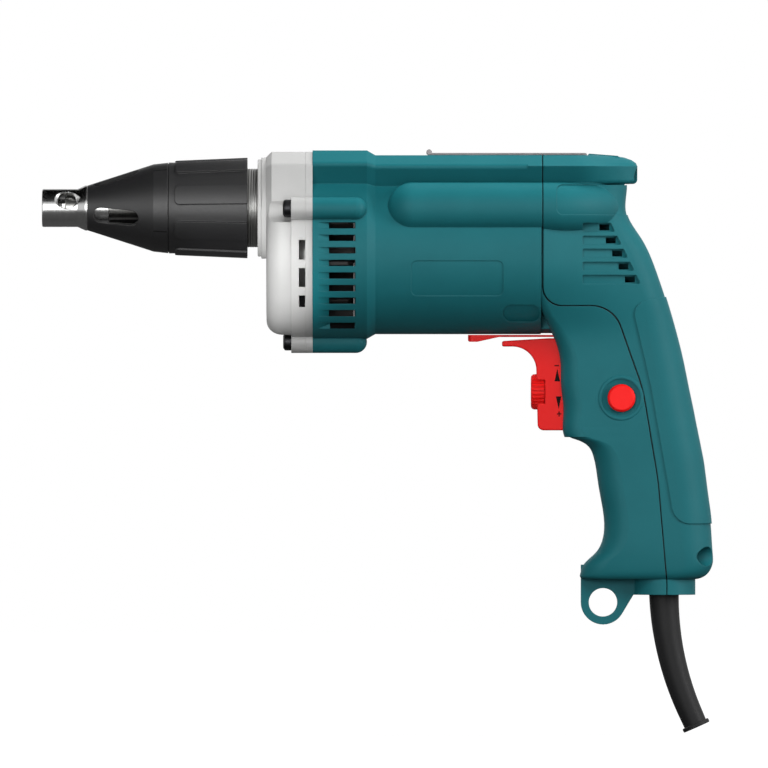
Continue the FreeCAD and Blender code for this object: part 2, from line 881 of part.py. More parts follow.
def locator_cone():
    seat_end = S.tip_length + S.tip_tail_length + S.seat_gap
    rise = (S.cone_rear_radius - S.cone_front_radius) / S.cone_length
    seat_outer = S.cone_front_radius + rise * S.tip_tail_length
    spigot_bore = S.spigot_radius - S.spigot_wall
    body = turned("locator_cone", [
        (S.tip_length, S.tip_tail_radius + S.seat_gap),
        (S.tip_length, S.cone_front_radius),
        (cone_end, S.cone_rear_radius),
        (band_end, S.band_radius),
        (band_end, S.spigot_radius),
        (spigot_end, S.spigot_radius),
        (spigot_end, spigot_bore),
        (cone_end, spigot_bore),
        (seat_end, seat_outer - S.cone_wall),
        (seat_end, S.tip_tail_radius + S.seat_gap),
    ], angle=S.window_angle)
    window_end = S.window_place + S.window_length
    corners = slot_corners(S.window_place, window_end, *both(S.window_width / 2))
    window, outline = pocket(body, "cone_window", "XY_Plane", corners, S.band_radius)
    polar(body, window, outline, WINDOW_COUNT)
    return finished(body, "locator_cone")


def adjusting_ring():
    pad_front = ring_start + S.ring_nose_length
    bore = S.neck_radius + S.free_gap
    socket = S.spigot_radius + S.seat_gap
    socket_end = spigot_end + S.free_gap
    click_front = ring_start + S.click_place - S.seat_gap
    click_back = click_front + S.click_thickness + S.seat_gap * 2
    click_room = S.neck_radius + S.free_gap + S.click_width + S.seat_gap
    floor = S.pad_front_radius - S.pad_height
    rear_floor = S.pad_rear_radius - S.pad_height
    core = turned("ring_core", [
        (ring_start, socket),
        (ring_start, S.ring_nose_radius),
        (pad_front, S.ring_nose_radius),
        (pad_front, floor),
        (ring_end, rear_floor),
        (ring_end, bore),
        (click_back, bore),
        (click_back, click_room),
        (click_front, click_room),
        (click_front, bore),
        (socket_end, bore),
        (socket_end, socket),
    ])
    shell = turned("ring_shell", [
        (pad_front, floor - S.pad_height),
        (pad_front, S.pad_front_radius),
        (ring_end, S.pad_rear_radius),
        (ring_end, rear_floor - S.pad_height),
    ])
    half = S.pad_rear_radius * sine(S.pad_angle / 2)
    far = S.pad_rear_radius + S.overrun
    bars = []
    for number in range(PAD_COUNT // 2):
        bar = prism("ring_bar", "xy", [
            (pad_front, -half, S.pad_corner),
            (ring_end + S.overrun, -half),
            (ring_end + S.overrun, half),
            (pad_front, half, S.pad_corner),
        ], *both(far))
        bar.Placement = FreeCAD.Placement(Vector(), Rotation(Vector(1, 0, 0), 360 * number / PAD_COUNT))
        bars.append(bar)
    pads = common("ring_pads", shell, fuse("ring_bars", *bars))
    ring = fuse("ring_whole", core, pads)
    ring.Placement = FreeCAD.Placement(Vector(), Rotation(Vector(1, 0, 0), S.pad_turn.number))
    bind(ring, "Placement.Rotation.Angle", S.pad_turn)
    return finished(ring, "adjusting_ring")


def click_ring():
    start = ring_start + S.click_place
    end = start + S.click_thickness
    inner = S.neck_radius + S.free_gap
    ring = tube("click_band", inner, inner + S.click_width, start, end)
    half = S.click_key_width / 2
    inside = S.neck_radius - S.click_key_depth
    over = S.click_width / 2
    upper = block("click_key", (start, end), both(half), (inside, inner + over))
    lower = block("click_key", (start, end), both(half), (-inner - over, -inside))
    return finished(fuse("click_whole", ring, upper, lower), "click_ring")


# Neck and spindle


def neck_sleeve():
    blank = turned("neck_blank", [
        (neck_front, S.neck_bore_radius + S.seat_gap),
        (neck_front, S.neck_radius),
        (collar_back, S.neck_radius),
        (collar_back, S.clutch_room_radius),
        (bush_back, S.clutch_room_radius),
        (bush_back, S.neck_bore_radius + S.seat_gap),
    ])
    half = S.click_key_width / 2 + S.free_gap
    floor = S.neck_radius - S.click_key_depth - S.free_gap
    xs = (neck_front - S.overrun, neck_front + S.neck_key_length)
    upper = block("neck_keyway", xs, both(half), (floor, S.neck_radius + S.overrun))
    lower = block("neck_keyway", xs, both(half), (-S.neck_radius - S.overrun, -floor))
    return finished(cut("neck_whole", blank, upper, lower), "neck_sleeve")


def spindle_bearings():
    running = S.spindle_radius + S.run_gap
    finished(tube("spindle_seal", running, S.neck_bore_radius, neck_front, bush_front), "spindle_seal")
    finished(tube("spindle_bush", running, S.neck_bore_radius, bush_front, bush_back), "spindle_bush")
    running = S.stub_radius + S.run_gap
    finished(tube("pilot_bush", running, S.pilot_radius, pilot_front, plate_back), "pilot_bush")


def jaws(name, start, end, turn):
    """A ring of clutch jaws between two places, turned by so many degrees."""
    wedges = []
    for number in range(JAW_COUNT):
        wedge = rod(name + "_wedge", S.clutch_radius, start, end)
        bind(wedge, "Angle", S.jaw_angle)
        spin = Rotation(Vector(1, 0, 0), turn + 360 * number / JAW_COUNT)
        wedge.Placement = FreeCAD.Placement(Vector(), spin.multiply(ALONG["x"]))
        bind(wedge, "Placement.Base.x", start)
        wedges.append(wedge)
    bore = rod(name + "_bore", S.jaw_inner_radius, start - S.overrun, end + S.overrun)
    return cut(name, fuse(name + "_wedges", *wedges), bore)


def spindle():
    blank = turned("spindle_blank", [
        (spindle_front, 0),
        (spindle_front, S.spindle_radius, S.spindle_edge),
        (clutch_front, S.spindle_radius),
        (clutch_front, S.clutch_radius),
        (clutch_back, S.clutch_radius),
        (clutch_back, S.stub_radius),
        (stub_end, S.stub_radius),
        (stub_end, 0),
    ])
    teeth = jaws("spindle_jaws", clutch_back, spindle_jaw_tip, 0)
    socket_end = S.holder_front + S.holder_length + S.shank_length + S.free_gap
    socket = hexagon("spindle_socket", S.hex_width + S.seat_gap * 2, spindle_front - S.overrun, socket_end)
    whole = fuse("spindle_toothed", blank, teeth)
    return finished(cut("spindle_whole", whole, socket), "spindle")


def bit_holder():
    holder_end = S.holder_front + S.holder_length
    sleeve = turned("holder_sleeve", [
        (S.holder_front, 0),
        (S.holder_front, S.holder_radius, S.holder_edge),
        (holder_end, S.holder_radius, S.holder_edge),
        (holder_end, 0),
    ])
    shank = hexagon("holder_shank", S.hex_width, holder_end - S.overrun, holder_end + S.shank_length)
    bit_end = S.bit_front + S.bit_length
    socket = hexagon("holder_socket", S.hex_width + S.seat_gap * 2, S.holder_front - S.overrun, bit_end)
    magnet_end = bit_end + S.magnet_length
    room = rod("magnet_room", S.magnet_radius + S.seat_gap, bit_end - S.overrun, magnet_end + S.seat_gap)
    whole = cut("holder_whole", fuse("holder_blank", sleeve, shank), socket, room)
    finished(whole, "bit_holder")
    magnet = rod("magnet", S.magnet_radius, bit_end + S.seat_gap, magnet_end)
    finished(magnet, "bit_magnet")


def driver_bit():
    taper_end = S.bit_front + S.bit_taper_length
    neck_end = taper_end + S.bit_neck_length
    point = turned("bit_point", [
        (S.bit_front, 0),
        (S.bit_front, S.bit_tip_radius),
        (taper_end, S.bit_neck_radius),
        (neck_end + S.seat_gap, S.bit_neck_radius),
        (neck_end + S.seat_gap, 0),
    ])
    shank = hexagon("bit_shank", S.hex_width, neck_end, S.bit_front + S.bit_length)
    flutes = []
    for number in range(BIT_FLUTES):
        turn = math.radians(45 + 360 * number / BIT_FLUTES)
        at = (S.bit_flute_place * math.cos(turn), S.bit_flute_place * math.sin(turn))
        flutes.append(rod("bit_flute", S.bit_flute_radius, S.bit_front - S.overrun, taper_end, at=at))
    return finished(cut("bit_whole", fuse("bit_blank", point, shank), *flutes), "driver_bit")


# Clutch and gears


def flank(teeth, shift, radius):
    """Half the angle of a tooth, in radians, at a radius."""
    pressure = math.radians(PRESSURE_ANGLE)
    pitch_radius = S.gear_module.number * teeth / 2
    base = pitch_radius * math.cos(pressure)
    slack = S.gear_backlash.number / 2 / pitch_radius / 2
    at_pitch = math.pi / 2 / teeth + 2 * shift * math.tan(pressure) / teeth - slack
    local = math.acos(min(1.0, base / radius))
    return at_pitch + math.tan(pressure) - pressure - math.tan(local) + local


def toothed_disc(teeth, shift, start, end, first):
    """Involute spur teeth about X between two places; the first tooth points at angle first."""
    module = S.gear_module.number
    root = module * (teeth / 2 - DEDENDUM_SHARE + shift)
    tip = module * (teeth / 2 + ADDENDUM_SHARE + shift)
    base = module * teeth / 2 * math.cos(math.radians(PRESSURE_ANGLE))
    low = max(root, base)
    radii = [low + (tip - low) * share for share in FLANK_SHARES]
    points = []
    for number in range(teeth):
        middle = math.radians(first) + 2 * math.pi * number / teeth
        rising = [(root, -flank(teeth, shift, low))] + [(r, -flank(teeth, shift, r)) for r in radii]
        falling = [(r, -angle) for r, angle in reversed(rising)]
        for radius, angle in rising + falling:
            turn = middle + angle
            points.append(Vector(start.number, radius * math.cos(turn), radius * math.sin(turn)))
    outline = Part.makePolygon(points + [points[0]])
    return Part.Face(outline).extrude(Vector(end.number - start.number, 0, 0))


def drive_gear():
    teeth = doc.addObject("Part::Feature", "gear_teeth")
    teeth.Shape = toothed_disc(GEAR_TEETH, -TOOTH_SHIFT_SHARE, gear_front, gear_back, -90)
    hub = rod("gear_hub", S.clutch_radius, gear_face, gear_front + S.seat_gap)
    dogs = jaws("gear_jaws", gear_jaw_tip, gear_face + S.seat_gap, 60)
    bore = rod("gear_bore", S.stub_radius + S.run_gap, gear_jaw_tip - S.overrun, gear_back + S.overrun)
    whole = cut("gear_whole", fuse("gear_blank", teeth, hub, dogs), bore)
    finished(whole, "drive_gear")
    front = gear_back + S.seat_gap
    washer = tube("gear_washer", S.stub_radius + S.run_gap, S.gear_washer_radius, front,
                  front + S.washer_thickness)
    finished(washer, "gear_washer")


def clutch_spring():
    end = clutch_back + S.washer_thickness
    finished(tube("thrust_washer", S.stub_radius + S.run_gap, S.washer_radius, clutch_back, end),
             "thrust_washer")
    spring = coil("clutch_coil", S.clutch_wire / 2, S.clutch_coil_radius, CLUTCH_TURNS, end + S.seat_gap,
                  gear_face - S.seat_gap)
    finished(spring, "clutch_spring")


# Gear housing and cover plate


def roof_corners(grow, lean):
    """The upper block's section: flat top, sloping facets, sides that lean in; grow moves it outwards."""
    side = S.side_half_width + grow
    top = S.top_height + grow
    flat = S.top_half_width + grow / 2
    shoulder = top - S.facet_drop - grow / 2
    waist = side - (shoulder - S.waist_height) * lean
    return [
        (-waist, -motor_drop),
        (waist, -motor_drop),
        (waist, S.waist_height),
        (side, shoulder, S.roof_corner),
        (flat, top, S.roof_corner),
        (-flat, top, S.roof_corner),
        (-side, shoulder, S.roof_corner),
        (-waist, S.waist_height),
    ]


def roof(name, stations, lean=0):
    """The upper block through stations (place, grow)."""
    sections = [drawing(name + "_section", "yz", roof_corners(grow, lean), at) for at, grow in stations]
    return loft(name, sections, ruled=True)


def screw_places():
    """Two screws at the sides, level with the spindle, and one below, on a circle about the motor."""
    spread = S.screw_circle * math.cos(math.radians(30))
    rise = S.screw_circle / 2 - motor_drop
    return [(-spread, rise), (spread, rise), (0, -motor_drop - S.screw_circle)]


case_grow = S.flange_step - S.case_inset
case_radius = S.barrel_radius + case_grow


def gear_housing():
    low = turned("case_low", [
        (collar_back, 0),
        (collar_back, case_radius - S.case_rim_step * 2, S.case_corner),
        (boss_front, case_radius - S.case_rim_step),
        (boss_front, case_radius),
        (case_back, case_radius),
        (case_back, 0),
    ], drop=motor_drop)
    high = roof("case_high", [
        (collar_back, case_grow - S.case_chamfer),
        (collar_back + S.case_chamfer, case_grow),
        (case_back, case_grow),
    ])
    collar = turned("case_collar", [
        (collar_front, 0),
        (collar_front, S.collar_lip_radius, S.collar_edge),
        (collar_front + S.collar_step, S.collar_lip_radius),
        (collar_front + S.collar_step, S.collar_radius, S.collar_edge),
        (collar_back + S.collar_step, S.collar_radius),
        (collar_back + S.collar_step, 0),
    ])
    channels = [
        rod("case_channel", S.screw_channel_radius, collar_front - S.overrun, boss_front, at=at)
        for at in screw_places()
    ]
    bosses = [rod("case_boss", S.boss_radius, boss_front, case_back, at=at) for at in screw_places()]
    channelled = cut("case_channelled", fuse("case_blank", low, high), *channels)
    form = fuse("case_form", channelled, collar, *bosses)
    duct_front = collar_back + S.case_duct_front
    duct = rod("case_duct", case_radius - S.case_wall, duct_front, case_back + S.overrun, at=(0, -motor_drop))
    gear_wall = rod("case_gear_wall", S.gear_room_radius + S.gear_wall, collar_back,
                    case_back + S.overrun * 2)
    pinion_wall = rod("case_pinion_wall", S.bearing_boss_radius + S.gear_wall, collar_back,
                      case_back + S.overrun * 2, at=(0, -motor_drop))
    screw_walls = [
        rod("case_screw_wall", S.screw_channel_radius + S.gear_wall, collar_back,
            case_back + S.overrun * 2, at=at)
        for at in screw_places()
    ]
    duct_room = cut("case_duct_room", duct, gear_wall, pinion_wall, *screw_walls)
    neck_seat = rod("case_neck_seat", S.neck_radius + S.seat_gap, collar_front - S.overrun, collar_back)
    clutch_room = rod("case_clutch_room", S.clutch_room_radius, collar_front, case_back)
    gear_room = rod("case_gear_room", S.gear_room_radius, gear_front - S.free_gap, case_back + S.overrun)
    pinion_room = rod("case_pinion_room", S.pinion_room_radius, gear_front - S.free_gap,
                      case_back + S.overrun, at=(0, -motor_drop))
    boss_room = rod("case_boss_room", S.bearing_boss_radius + S.free_gap, bearing_front - S.free_gap * 3,
                    case_back + S.overrun, at=(0, -motor_drop))
    vents = []
    for middle_share, height_share in VENT_SHARES:
        middle = -(case_radius * middle_share)
        half = case_radius * height_share / 2
        for ys in ((-case_radius - S.overrun, -S.vent_inside), (S.vent_inside, case_radius + S.overrun)):
            xs = (case_back - S.vent_depth, case_back + S.overrun)
            vents.append(block("case_vent", xs, ys, (middle - half, middle + half)))
    holes = [
        rod("case_hole", S.screw_radius + S.seat_gap, boss_front - S.overrun, case_back + S.overrun, at=at)
        for at in screw_places()
    ]
    whole = cut("case_whole", form, duct_room, neck_seat, clutch_room, gear_room, pinion_room, boss_room,
                *vents, *holes)
    return finished(whole, "gear_housing")


def gear_housing_cover():
    low = rod("plate_low", case_radius, case_back, plate_back, at=(0, -motor_drop))
    high = roof("plate_high", [(case_back, case_grow), (plate_back, case_grow)])
    bosses = [rod("plate_boss", S.boss_radius, case_back, plate_back, at=at) for at in screw_places()]
    seat = rod("plate_seat", S.bearing_boss_radius, bearing_front - S.free_gap, plate_back,
               at=(0, -motor_drop))
    pilot = rod("plate_pilot", S.pilot_boss_radius, pilot_front, plate_back)
    bearing_room = rod("plate_bearing_room", S.bearing_radius + S.seat_gap, bearing_front - S.overrun,
                       plate_back + S.overrun, at=(0, -motor_drop))
    pilot_room = rod("plate_pilot_room", S.pilot_radius + S.seat_gap, pilot_front - S.overrun,
                     plate_back + S.overrun)
    ducts = []
    for number in range(AIR_HOLES - 1):
        turn = math.radians(-90 + S.duct_hole_spread.number * (number - (AIR_HOLES - 2) / 2))
        at = (S.duct_hole_circle * math.cos(turn), S.duct_hole_circle * math.sin(turn) - motor_drop)
        ducts.append(rod("plate_duct", S.duct_hole_radius, case_back - S.overrun,
                         plate_back + S.overrun, at=at))
    holes = [
        rod("plate_hole", S.screw_radius + S.seat_gap, case_back - S.overrun, plate_back + S.overrun, at=at)
        for at in screw_places()
    ]
    form = fuse("plate_form", low, high, seat, pilot, *bosses)
    whole = cut("plate_whole", form, bearing_room, pilot_room, *ducts, *holes)
    return finished(whole, "gear_housing_cover")


def gear_housing_screws():
    screws = []
    for at in screw_places():
        head = rod("case_screw_head", S.screw_head_radius, boss_front - S.screw_head_height, boss_front,
                   at=at)
        shank = rod("case_screw_shank", S.screw_radius, boss_front - S.seat_gap,
                    boss_front + S.screw_length, at=at)
        screws.append(fuse("case_screw", head, shank))
    return finished(fuse("case_screws", *screws), "gear_housing_screws")


# Housing: barrel and handle form, split along the seam into the motor housing and the handle cover


def handle_sections(name, shares, inset):
    """Rounded sections of the handle, square to Z; inset moves their walls inwards."""
    sections = []
    for level, front, rear, front_width, rear_width, front_round, rear_round in shares:
        x_front = S.overall_length * front + inset
        x_rear = S.overall_length * rear - inset
        half_front = S.handle_half_width * front_width - inset
        half_rear = S.handle_half_width * rear_width - inset
        small = S.handle_half_width * front_round
        large = S.handle_half_width * rear_round
        corners = [
            (x_front, -half_front, small),
            (x_rear, -half_rear, large),
            (x_rear, half_rear, large),
            (x_front, half_front, small),
        ]
        sections.append(drawing(name + "_section", "xy", corners, -(S.handle_drop * level)))
    return sections


def handle_loft(name, shares, inset=0, ruled=False):
    return loft(name, handle_sections(name, shares, as_size(inset)), ruled)


def cap_corners(side, end, half_side, half_end, corner, end_corner):
    front = seam_place - S.rear_wall
    return [
        (front, -half_side),
        (seam_place + side, -half_side, corner),
        (seam_place + end, -half_end, end_corner),
        (seam_place + end, half_end, end_corner),
        (seam_place + side, half_side, corner),
        (front, half_side),
    ]


def between(start, end, share):
    return start + (as_size(end) - start) * share


def rear_cap():
    """The cap over the rear end: upright rim with a rounded foot, then a top that curves down to it."""
    shoulder = S.top_height - S.facet_drop
    foot = []
    dome = []
    for step in range(CAP_STEPS + 1):
        rise = math.sin(math.pi / 2 * step / CAP_STEPS)
        run = 1 - math.cos(math.pi / 2 * step / CAP_STEPS)
        inset = S.cap_edge * (1 - rise)
        level = S.cap_base + S.cap_edge * run
        rim = cap_corners(S.cap_side - inset, S.cap_length - inset,
                          S.side_half_width - (shoulder - level) * WALL_LEAN_SHARE,
                          S.cap_end_half_width - inset, S.cap_corner, S.cap_end_corner)
        foot.append(drawing("cap_foot", "xy", rim, level))
        ring = cap_corners(between(S.cap_side, S.cap_top_side, rise),
                           between(S.cap_length, S.cap_top_end, run),
                           between(S.side_half_width, S.top_half_width, rise),
                           between(S.cap_end_half_width, S.cap_top_half_width, rise),
                           S.cap_corner, S.cap_end_corner)
        dome.append(drawing("cap_dome", "xy", ring, shoulder + S.facet_drop * rise))
    form = loft("cap_form", foot + dome, ruled=True)
    front = seam_place + S.rib_front
    back = front + S.rib_length
    rib = prism("cap_rib", "xz", [
        (front, S.cap_base),
        (back, S.cap_base),
        (back, S.top_height - S.rib_drop, S.rib_height),
        (front, S.top_height + S.rib_height, S.rib_height),
    ], *both(S.rib_half_width))
    return fuse("cap_whole", form, rib)


def bulges(inset):
    """A long swelling on each side, with a round front end, that bends inwards behind the seam."""
    radius = S.bulge_radius - inset
    front = main_front + S.bulge_setback + S.bulge_radius
    back = seam_place + S.bulge_rear
    pieces = []
    for side, turn in ((-1, QUARTER_BACK), (1, None)):
        at = (S.bulge_offset * side, S.bulge_height)
        pieces.append(rod("bulge", radius, front, back, at=at))
        pieces.append(ball("bulge_front", radius, front, *at))
        bend = doc.addObject("Part::Torus", "bulge_bend")
        bind(bend, "Radius1", S.bulge_bend)
        bind(bend, "Radius2", radius)
        bend.Angle3 = 90
        pieces.append(place(bend, back, (S.bulge_offset - S.bulge_bend) * side, S.bulge_height, turn))
    return pieces


def barrel():
    """Barrel, faceted upper block, screw bosses and side bulges."""
    round_part = turned("barrel_round", [
        (plate_back, 0),
        (plate_back, S.barrel_radius + S.flange_step),
        (flange_back, S.barrel_radius + S.flange_step),
        (main_front, S.barrel_radius),
        (seam_place - S.seam_gap, S.barrel_radius),
        (seam_place - S.seam_gap, 0),
    ], drop=motor_drop)
    upper = roof("barrel_roof", [
        (plate_back, S.flange_step),
        (flange_back, S.flange_step),
        (main_front, as_size(0)),
        (seam_place + S.seam_gap, as_size(0)),
    ], WALL_LEAN_SHARE)
    boss_end = flange_back - S.boss_radius
    bosses = []
    for at in screw_places():
        bosses.append(rod("barrel_boss", S.boss_radius, plate_back, boss_end, at=at))
        bosses.append(ball("barrel_boss_end", S.boss_radius, boss_end, *at))
    return fuse("barrel_form", round_part, upper, *bosses, *bulges(as_size(0)))


def hanging_eye():
    """A plate below the handle's front that runs off a round end; its hole is cut later."""
    outer = S.eye_radius + S.eye_wall
    root = -S.handle_drop + S.eye_radius
    round_end = rod("eye_end", outer, *both(S.eye_half_width), "y", (S.eye_place, -S.eye_drop))
    touch = (S.eye_place + outer * cosine(S.eye_angle), -S.eye_drop - outer * sine(S.eye_angle))
    plate = prism("eye_plate", "xz", [
        (S.eye_place - outer, root),
        (S.eye_place - outer, -S.eye_drop),
        touch,
        (S.eye_place + S.eye_root, -S.handle_drop - S.eye_edge),
        (S.eye_place + S.eye_root, root),
    ], *both(S.eye_half_width))
    return fuse("eye_form", round_end, plate)


def seam_region(name, shift):
    """Everything behind the seam, moved back and up by shift."""
    far = S.overall_length + S.overrun * 3
    top = S.top_height + S.overrun * 3
    bottom = -S.handle_drop - S.overrun * 3
    corners = [(seam_place + shift, top), (seam_place + shift, -S.seam_drop + shift, S.overrun)]
    for length_share, drop_share, round_share in SEAM_SHARES:
        corner = (S.overall_length * length_share + shift, -(S.handle_drop * drop_share) + shift)
        if round_share:
            corner = corner + (S.handle_half_width * round_share,)
        corners.append(corner)
    last = S.overall_length * SEAM_SHARES[-1][0] + shift
    corners += [(last, bottom), (far, bottom), (far, top)]
    return prism(name, "xz", corners, *both(S.barrel_radius * 2))


def outer_form():
    upper = handle_loft("handle_upper", UPPER_HANDLE_SHARES)
    lower = handle_loft("handle_lower", LOWER_HANDLE_SHARES)
    base = rod("handle_base", S.base_radius, -S.base_drop, -S.handle_drop + S.overrun, "z",
               (S.guard_place, 0))
    return fuse("outer_form", barrel(), upper, lower, rear_cap(), hanging_eye(), base)


def guard_room():
    """The hole and the flange groove that hold the cord guard."""
    at = (S.guard_place, 0)
    hole = rod("guard_hole", S.guard_top_radius + S.seat_gap, -S.base_drop - S.overrun,
               -S.pocket_bottom, "z", at)
    low = -S.guard_flange_drop - S.guard_flange_height - S.seat_gap
    groove = rod("guard_groove", S.guard_flange_radius + S.seat_gap, low,
                 -S.guard_flange_drop + S.seat_gap, "z", at)
    return fuse("guard_room", hole, groove)


def cover_screw_places():
    """(seat place, y, z) of the four screws that hold the handle cover."""
    low = [(S.low_screw_seat, S.low_screw_side * side, -S.low_screw_drop) for side in (-1, 1)]
    top = [(S.top_screw_seat, S.top_screw_side * side, S.top_screw_height) for side in (-1, 1)]
    return low + top


def cover_screw_holes(name):
    holes = []
    for seat, y, z in cover_screw_places():
        head_front = seat - S.screw_head_height
        far = S.overall_length + S.overrun
        holes.append(rod(name + "_recess", S.cover_recess_radius, head_front, far, at=(y, z)))
        end = head_front - S.cover_screw_length - S.seat_gap
        holes.append(rod(name + "_hole", S.cover_screw_radius + S.seat_gap, end, seat, at=(y, z)))
    return holes


def vent_slots():
    """Nine slots on each side of the flange, with a ramp leading into each from the front."""
    start = plate_back + S.slot_front
    end = start + S.slot_length
    outer = S.barrel_radius + S.flange_step
    far = outer + S.overrun
    slots = []
    ramps = []
    for number in range(SLOT_COUNT):
        top = -S.slot_top - S.slot_pitch * number + S.slot_height / 2
        zs = (top - S.slot_height, top)
        for ys in ((-far, -S.slot_inside), (S.slot_inside, far)):
            slots.append(block("vent_slot", (start, end), ys, zs))
            ramps.append(block("vent_ramp", (start - S.slot_ramp, start + S.seat_gap), ys, zs))
    wedge = turned("vent_wedge", [
        (start - S.slot_ramp, outer),
        (start + S.seat_gap, outer - S.slot_ramp_depth),
        (start + S.seat_gap, far),
        (start - S.slot_ramp, far),
    ], drop=motor_drop)
    return slots, common("vent_ramps", wedge, fuse("vent_ramp_blocks", *ramps))


def barrel_dent(name, corners, depth):
    """A shallow dent of some outline in each side of the barrel."""
    bar = prism(name + "_bar", "xz", corners, *both(S.barrel_radius * 2))
    core = rod(name + "_core", S.barrel_radius - depth, plate_back, seam_place, at=(0, -motor_drop))
    return cut(name, bar, core)


def oval_dent():
    start = plate_back + S.oval_place
    corners = slot_corners(start, start + S.oval_length, *both(S.oval_width / 2))
    corners = [(u, v - S.oval_height, r) for u, v, r in corners]
    return barrel_dent("oval_dent", corners, S.oval_depth)


def plain_dent():
    front = plate_back + S.dent_place
    back = front + S.dent_length
    top = -S.dent_top
    bottom = top - S.dent_height
    corners = [(u, v, S.dent_corner) for u, v in ((front, bottom), (back, bottom), (back, top), (front, top))]
    return barrel_dent("plain_dent", corners, S.dent_depth)


def switch_rooms():
    """Pockets for the switch, the lever and the trigger in the front half of the handle."""
    gap = S.free_gap
    half = S.switch_half_width + gap
    switch = block("switch_room", (S.switch_front - gap, S.switch_front + S.switch_length + S.overrun),
                   both(half), (-S.switch_top - S.switch_height - gap, -S.switch_top + gap))
    opening = S.trigger_half_width + gap
    lever_top = -motor_drop - S.barrel_radius
    trigger = block("trigger_room", (wall_front, S.switch_front), both(opening),
                    (-S.trigger_bottom - gap * 2, lever_top))
    sweep = S.lever_half_width * 2 + S.lever_tail
    lever = block("lever_room", (S.switch_front - gap * 2, S.lever_pivot + S.lever_tail + S.overrun),
                  both(sweep), (-S.switch_top, lever_top))
    dial_end = S.dial_front + S.dial_length + S.trigger_travel + gap
    dial = rod("dial_travel_room", S.dial_radius + gap, S.dial_front, dial_end, at=(0, -S.dial_drop))
    return [switch, trigger, lever, dial]


def lock_rooms():
    """The button's hole and the dish around it, on the viewer's side."""
    at = (S.button_place, -S.button_drop)
    half = S.handle_half_width
    hole = rod("button_hole", S.button_radius + S.run_gap, -half - S.overrun, -S.switch_half_width, "y", at)
    rim = S.button_radius + S.free_gap
    dish = taper("button_dish", S.dish_radius + S.dish_depth * 2, rim, -half - S.dish_depth,
                 -half + S.dish_depth, "y", at)
    return [hole, dish]


def clamp_places():
    return [(S.clamp_post_side * side, -S.clamp_drop) for side in (-1, 1)]


clamp_front = S.pocket_front + S.clamp_post_length


def motor_housing(form):
    axis = (0, -motor_drop)
    bore = rod("motor_bore", S.bore_radius, plate_back, wall_front, at=axis)
    chamber = rod("fan_chamber", S.chamber_radius, plate_back - S.overrun, chamber_back, at=axis)
    bearing_room = S.rear_bearing_radius + S.bearing_sleeve_wall + S.seat_gap
    bearing = rod("rear_bearing_room", bearing_room, plate_back, rear_bearing_back + S.seat_gap, at=axis)
    shaft_room = rod("rear_shaft_room", S.rear_journal_radius + S.free_gap, plate_back,
                     seam_place + S.overrun, at=axis)
    air = []
    for number in range(AIR_HOLES):
        turn = math.radians(360 * number / AIR_HOLES)
        at = (S.air_hole_circle * math.cos(turn), S.air_hole_circle * math.sin(turn) - motor_drop)
        air.append(rod("air_hole", S.air_hole_radius, wall_front - S.overrun, seam_place + S.overrun, at=at))
    lower = block("lower_pocket", (S.pocket_front, S.overall_length), both(S.pocket_half_width),
                  (-S.pocket_bottom, -S.pocket_top))
    eye = rod("eye_hole", S.eye_radius, *both(S.barrel_radius), "y", (S.eye_place, -S.eye_drop))
    screw_end = boss_front + S.screw_length + S.seat_gap
    screw_holes = [
        rod("barrel_screw_hole", S.screw_radius + S.seat_gap, plate_back - S.overrun, screw_end, at=at)
        for at in screw_places()
    ]
    slots, ramps = vent_slots()
    shell = cut("motor_shell", form, seam_region("seam_front", as_size(0)), bore, chamber, lower, eye,
                *screw_holes, *slots, ramps, oval_dent(), plain_dent(), *switch_rooms(), *lock_rooms(),
                guard_room())
    boss_front_place = wall_front - S.bearing_boss_length
    boss = rod("rear_bearing_boss", S.bearing_boss_radius, boss_front_place, wall_front + S.seat_gap, at=axis)
    posts = [
        rod("clamp_post", S.clamp_post_radius, S.pocket_front - S.seat_gap, clamp_front, at=at)
        for at in clamp_places()
    ]
    post_holes = [
        rod("clamp_hole", S.clamp_screw_radius + S.seat_gap, clamp_front - S.clamp_screw_depth,
            clamp_front + S.overrun, at=at)
        for at in clamp_places()
    ]
    solid = fuse("motor_solid", shell, boss, *posts)
    whole = cut("motor_whole", solid, bearing, shaft_room, *air, *post_holes, *cover_screw_holes("front"))
    return finished(whole, "motor_housing")


def louvres():
    """Slanted-end recesses on both sides of the cover, each with a way in at its rear end."""
    start = seam_place + S.louvre_front
    recesses = []
    openings = []
    far = S.barrel_radius * 2
    for number in range(LOUVRE_COUNT):
        top = -S.louvre_top - S.louvre_pitch * number
        bottom = top - S.louvre_height
        end = seam_place + S.louvre_rear + S.louvre_slope * S.louvre_pitch * number
        low_end = end + S.louvre_slope * S.louvre_height
        corners = [
            (start, bottom, S.louvre_corner),
            (low_end, bottom, S.louvre_corner),
            (end, top, S.louvre_corner),
            (start, top, S.louvre_corner),
        ]
        recesses.append(prism("louvre", "xz", corners, *both(far)))
        xs = (end - S.louvre_opening, end - S.louvre_corner)
        zs = (bottom + S.louvre_corner, top - S.louvre_corner)
        for ys in ((-far, -S.louvre_inside), (S.louvre_inside, far)):
            openings.append(block("louvre_opening", xs, ys, zs))
    floor = handle_loft("louvre_floor", UPPER_HANDLE_SHARES, S.louvre_depth)
    return cut("louvre_recess", fuse("louvre_bars", *recesses), floor), openings


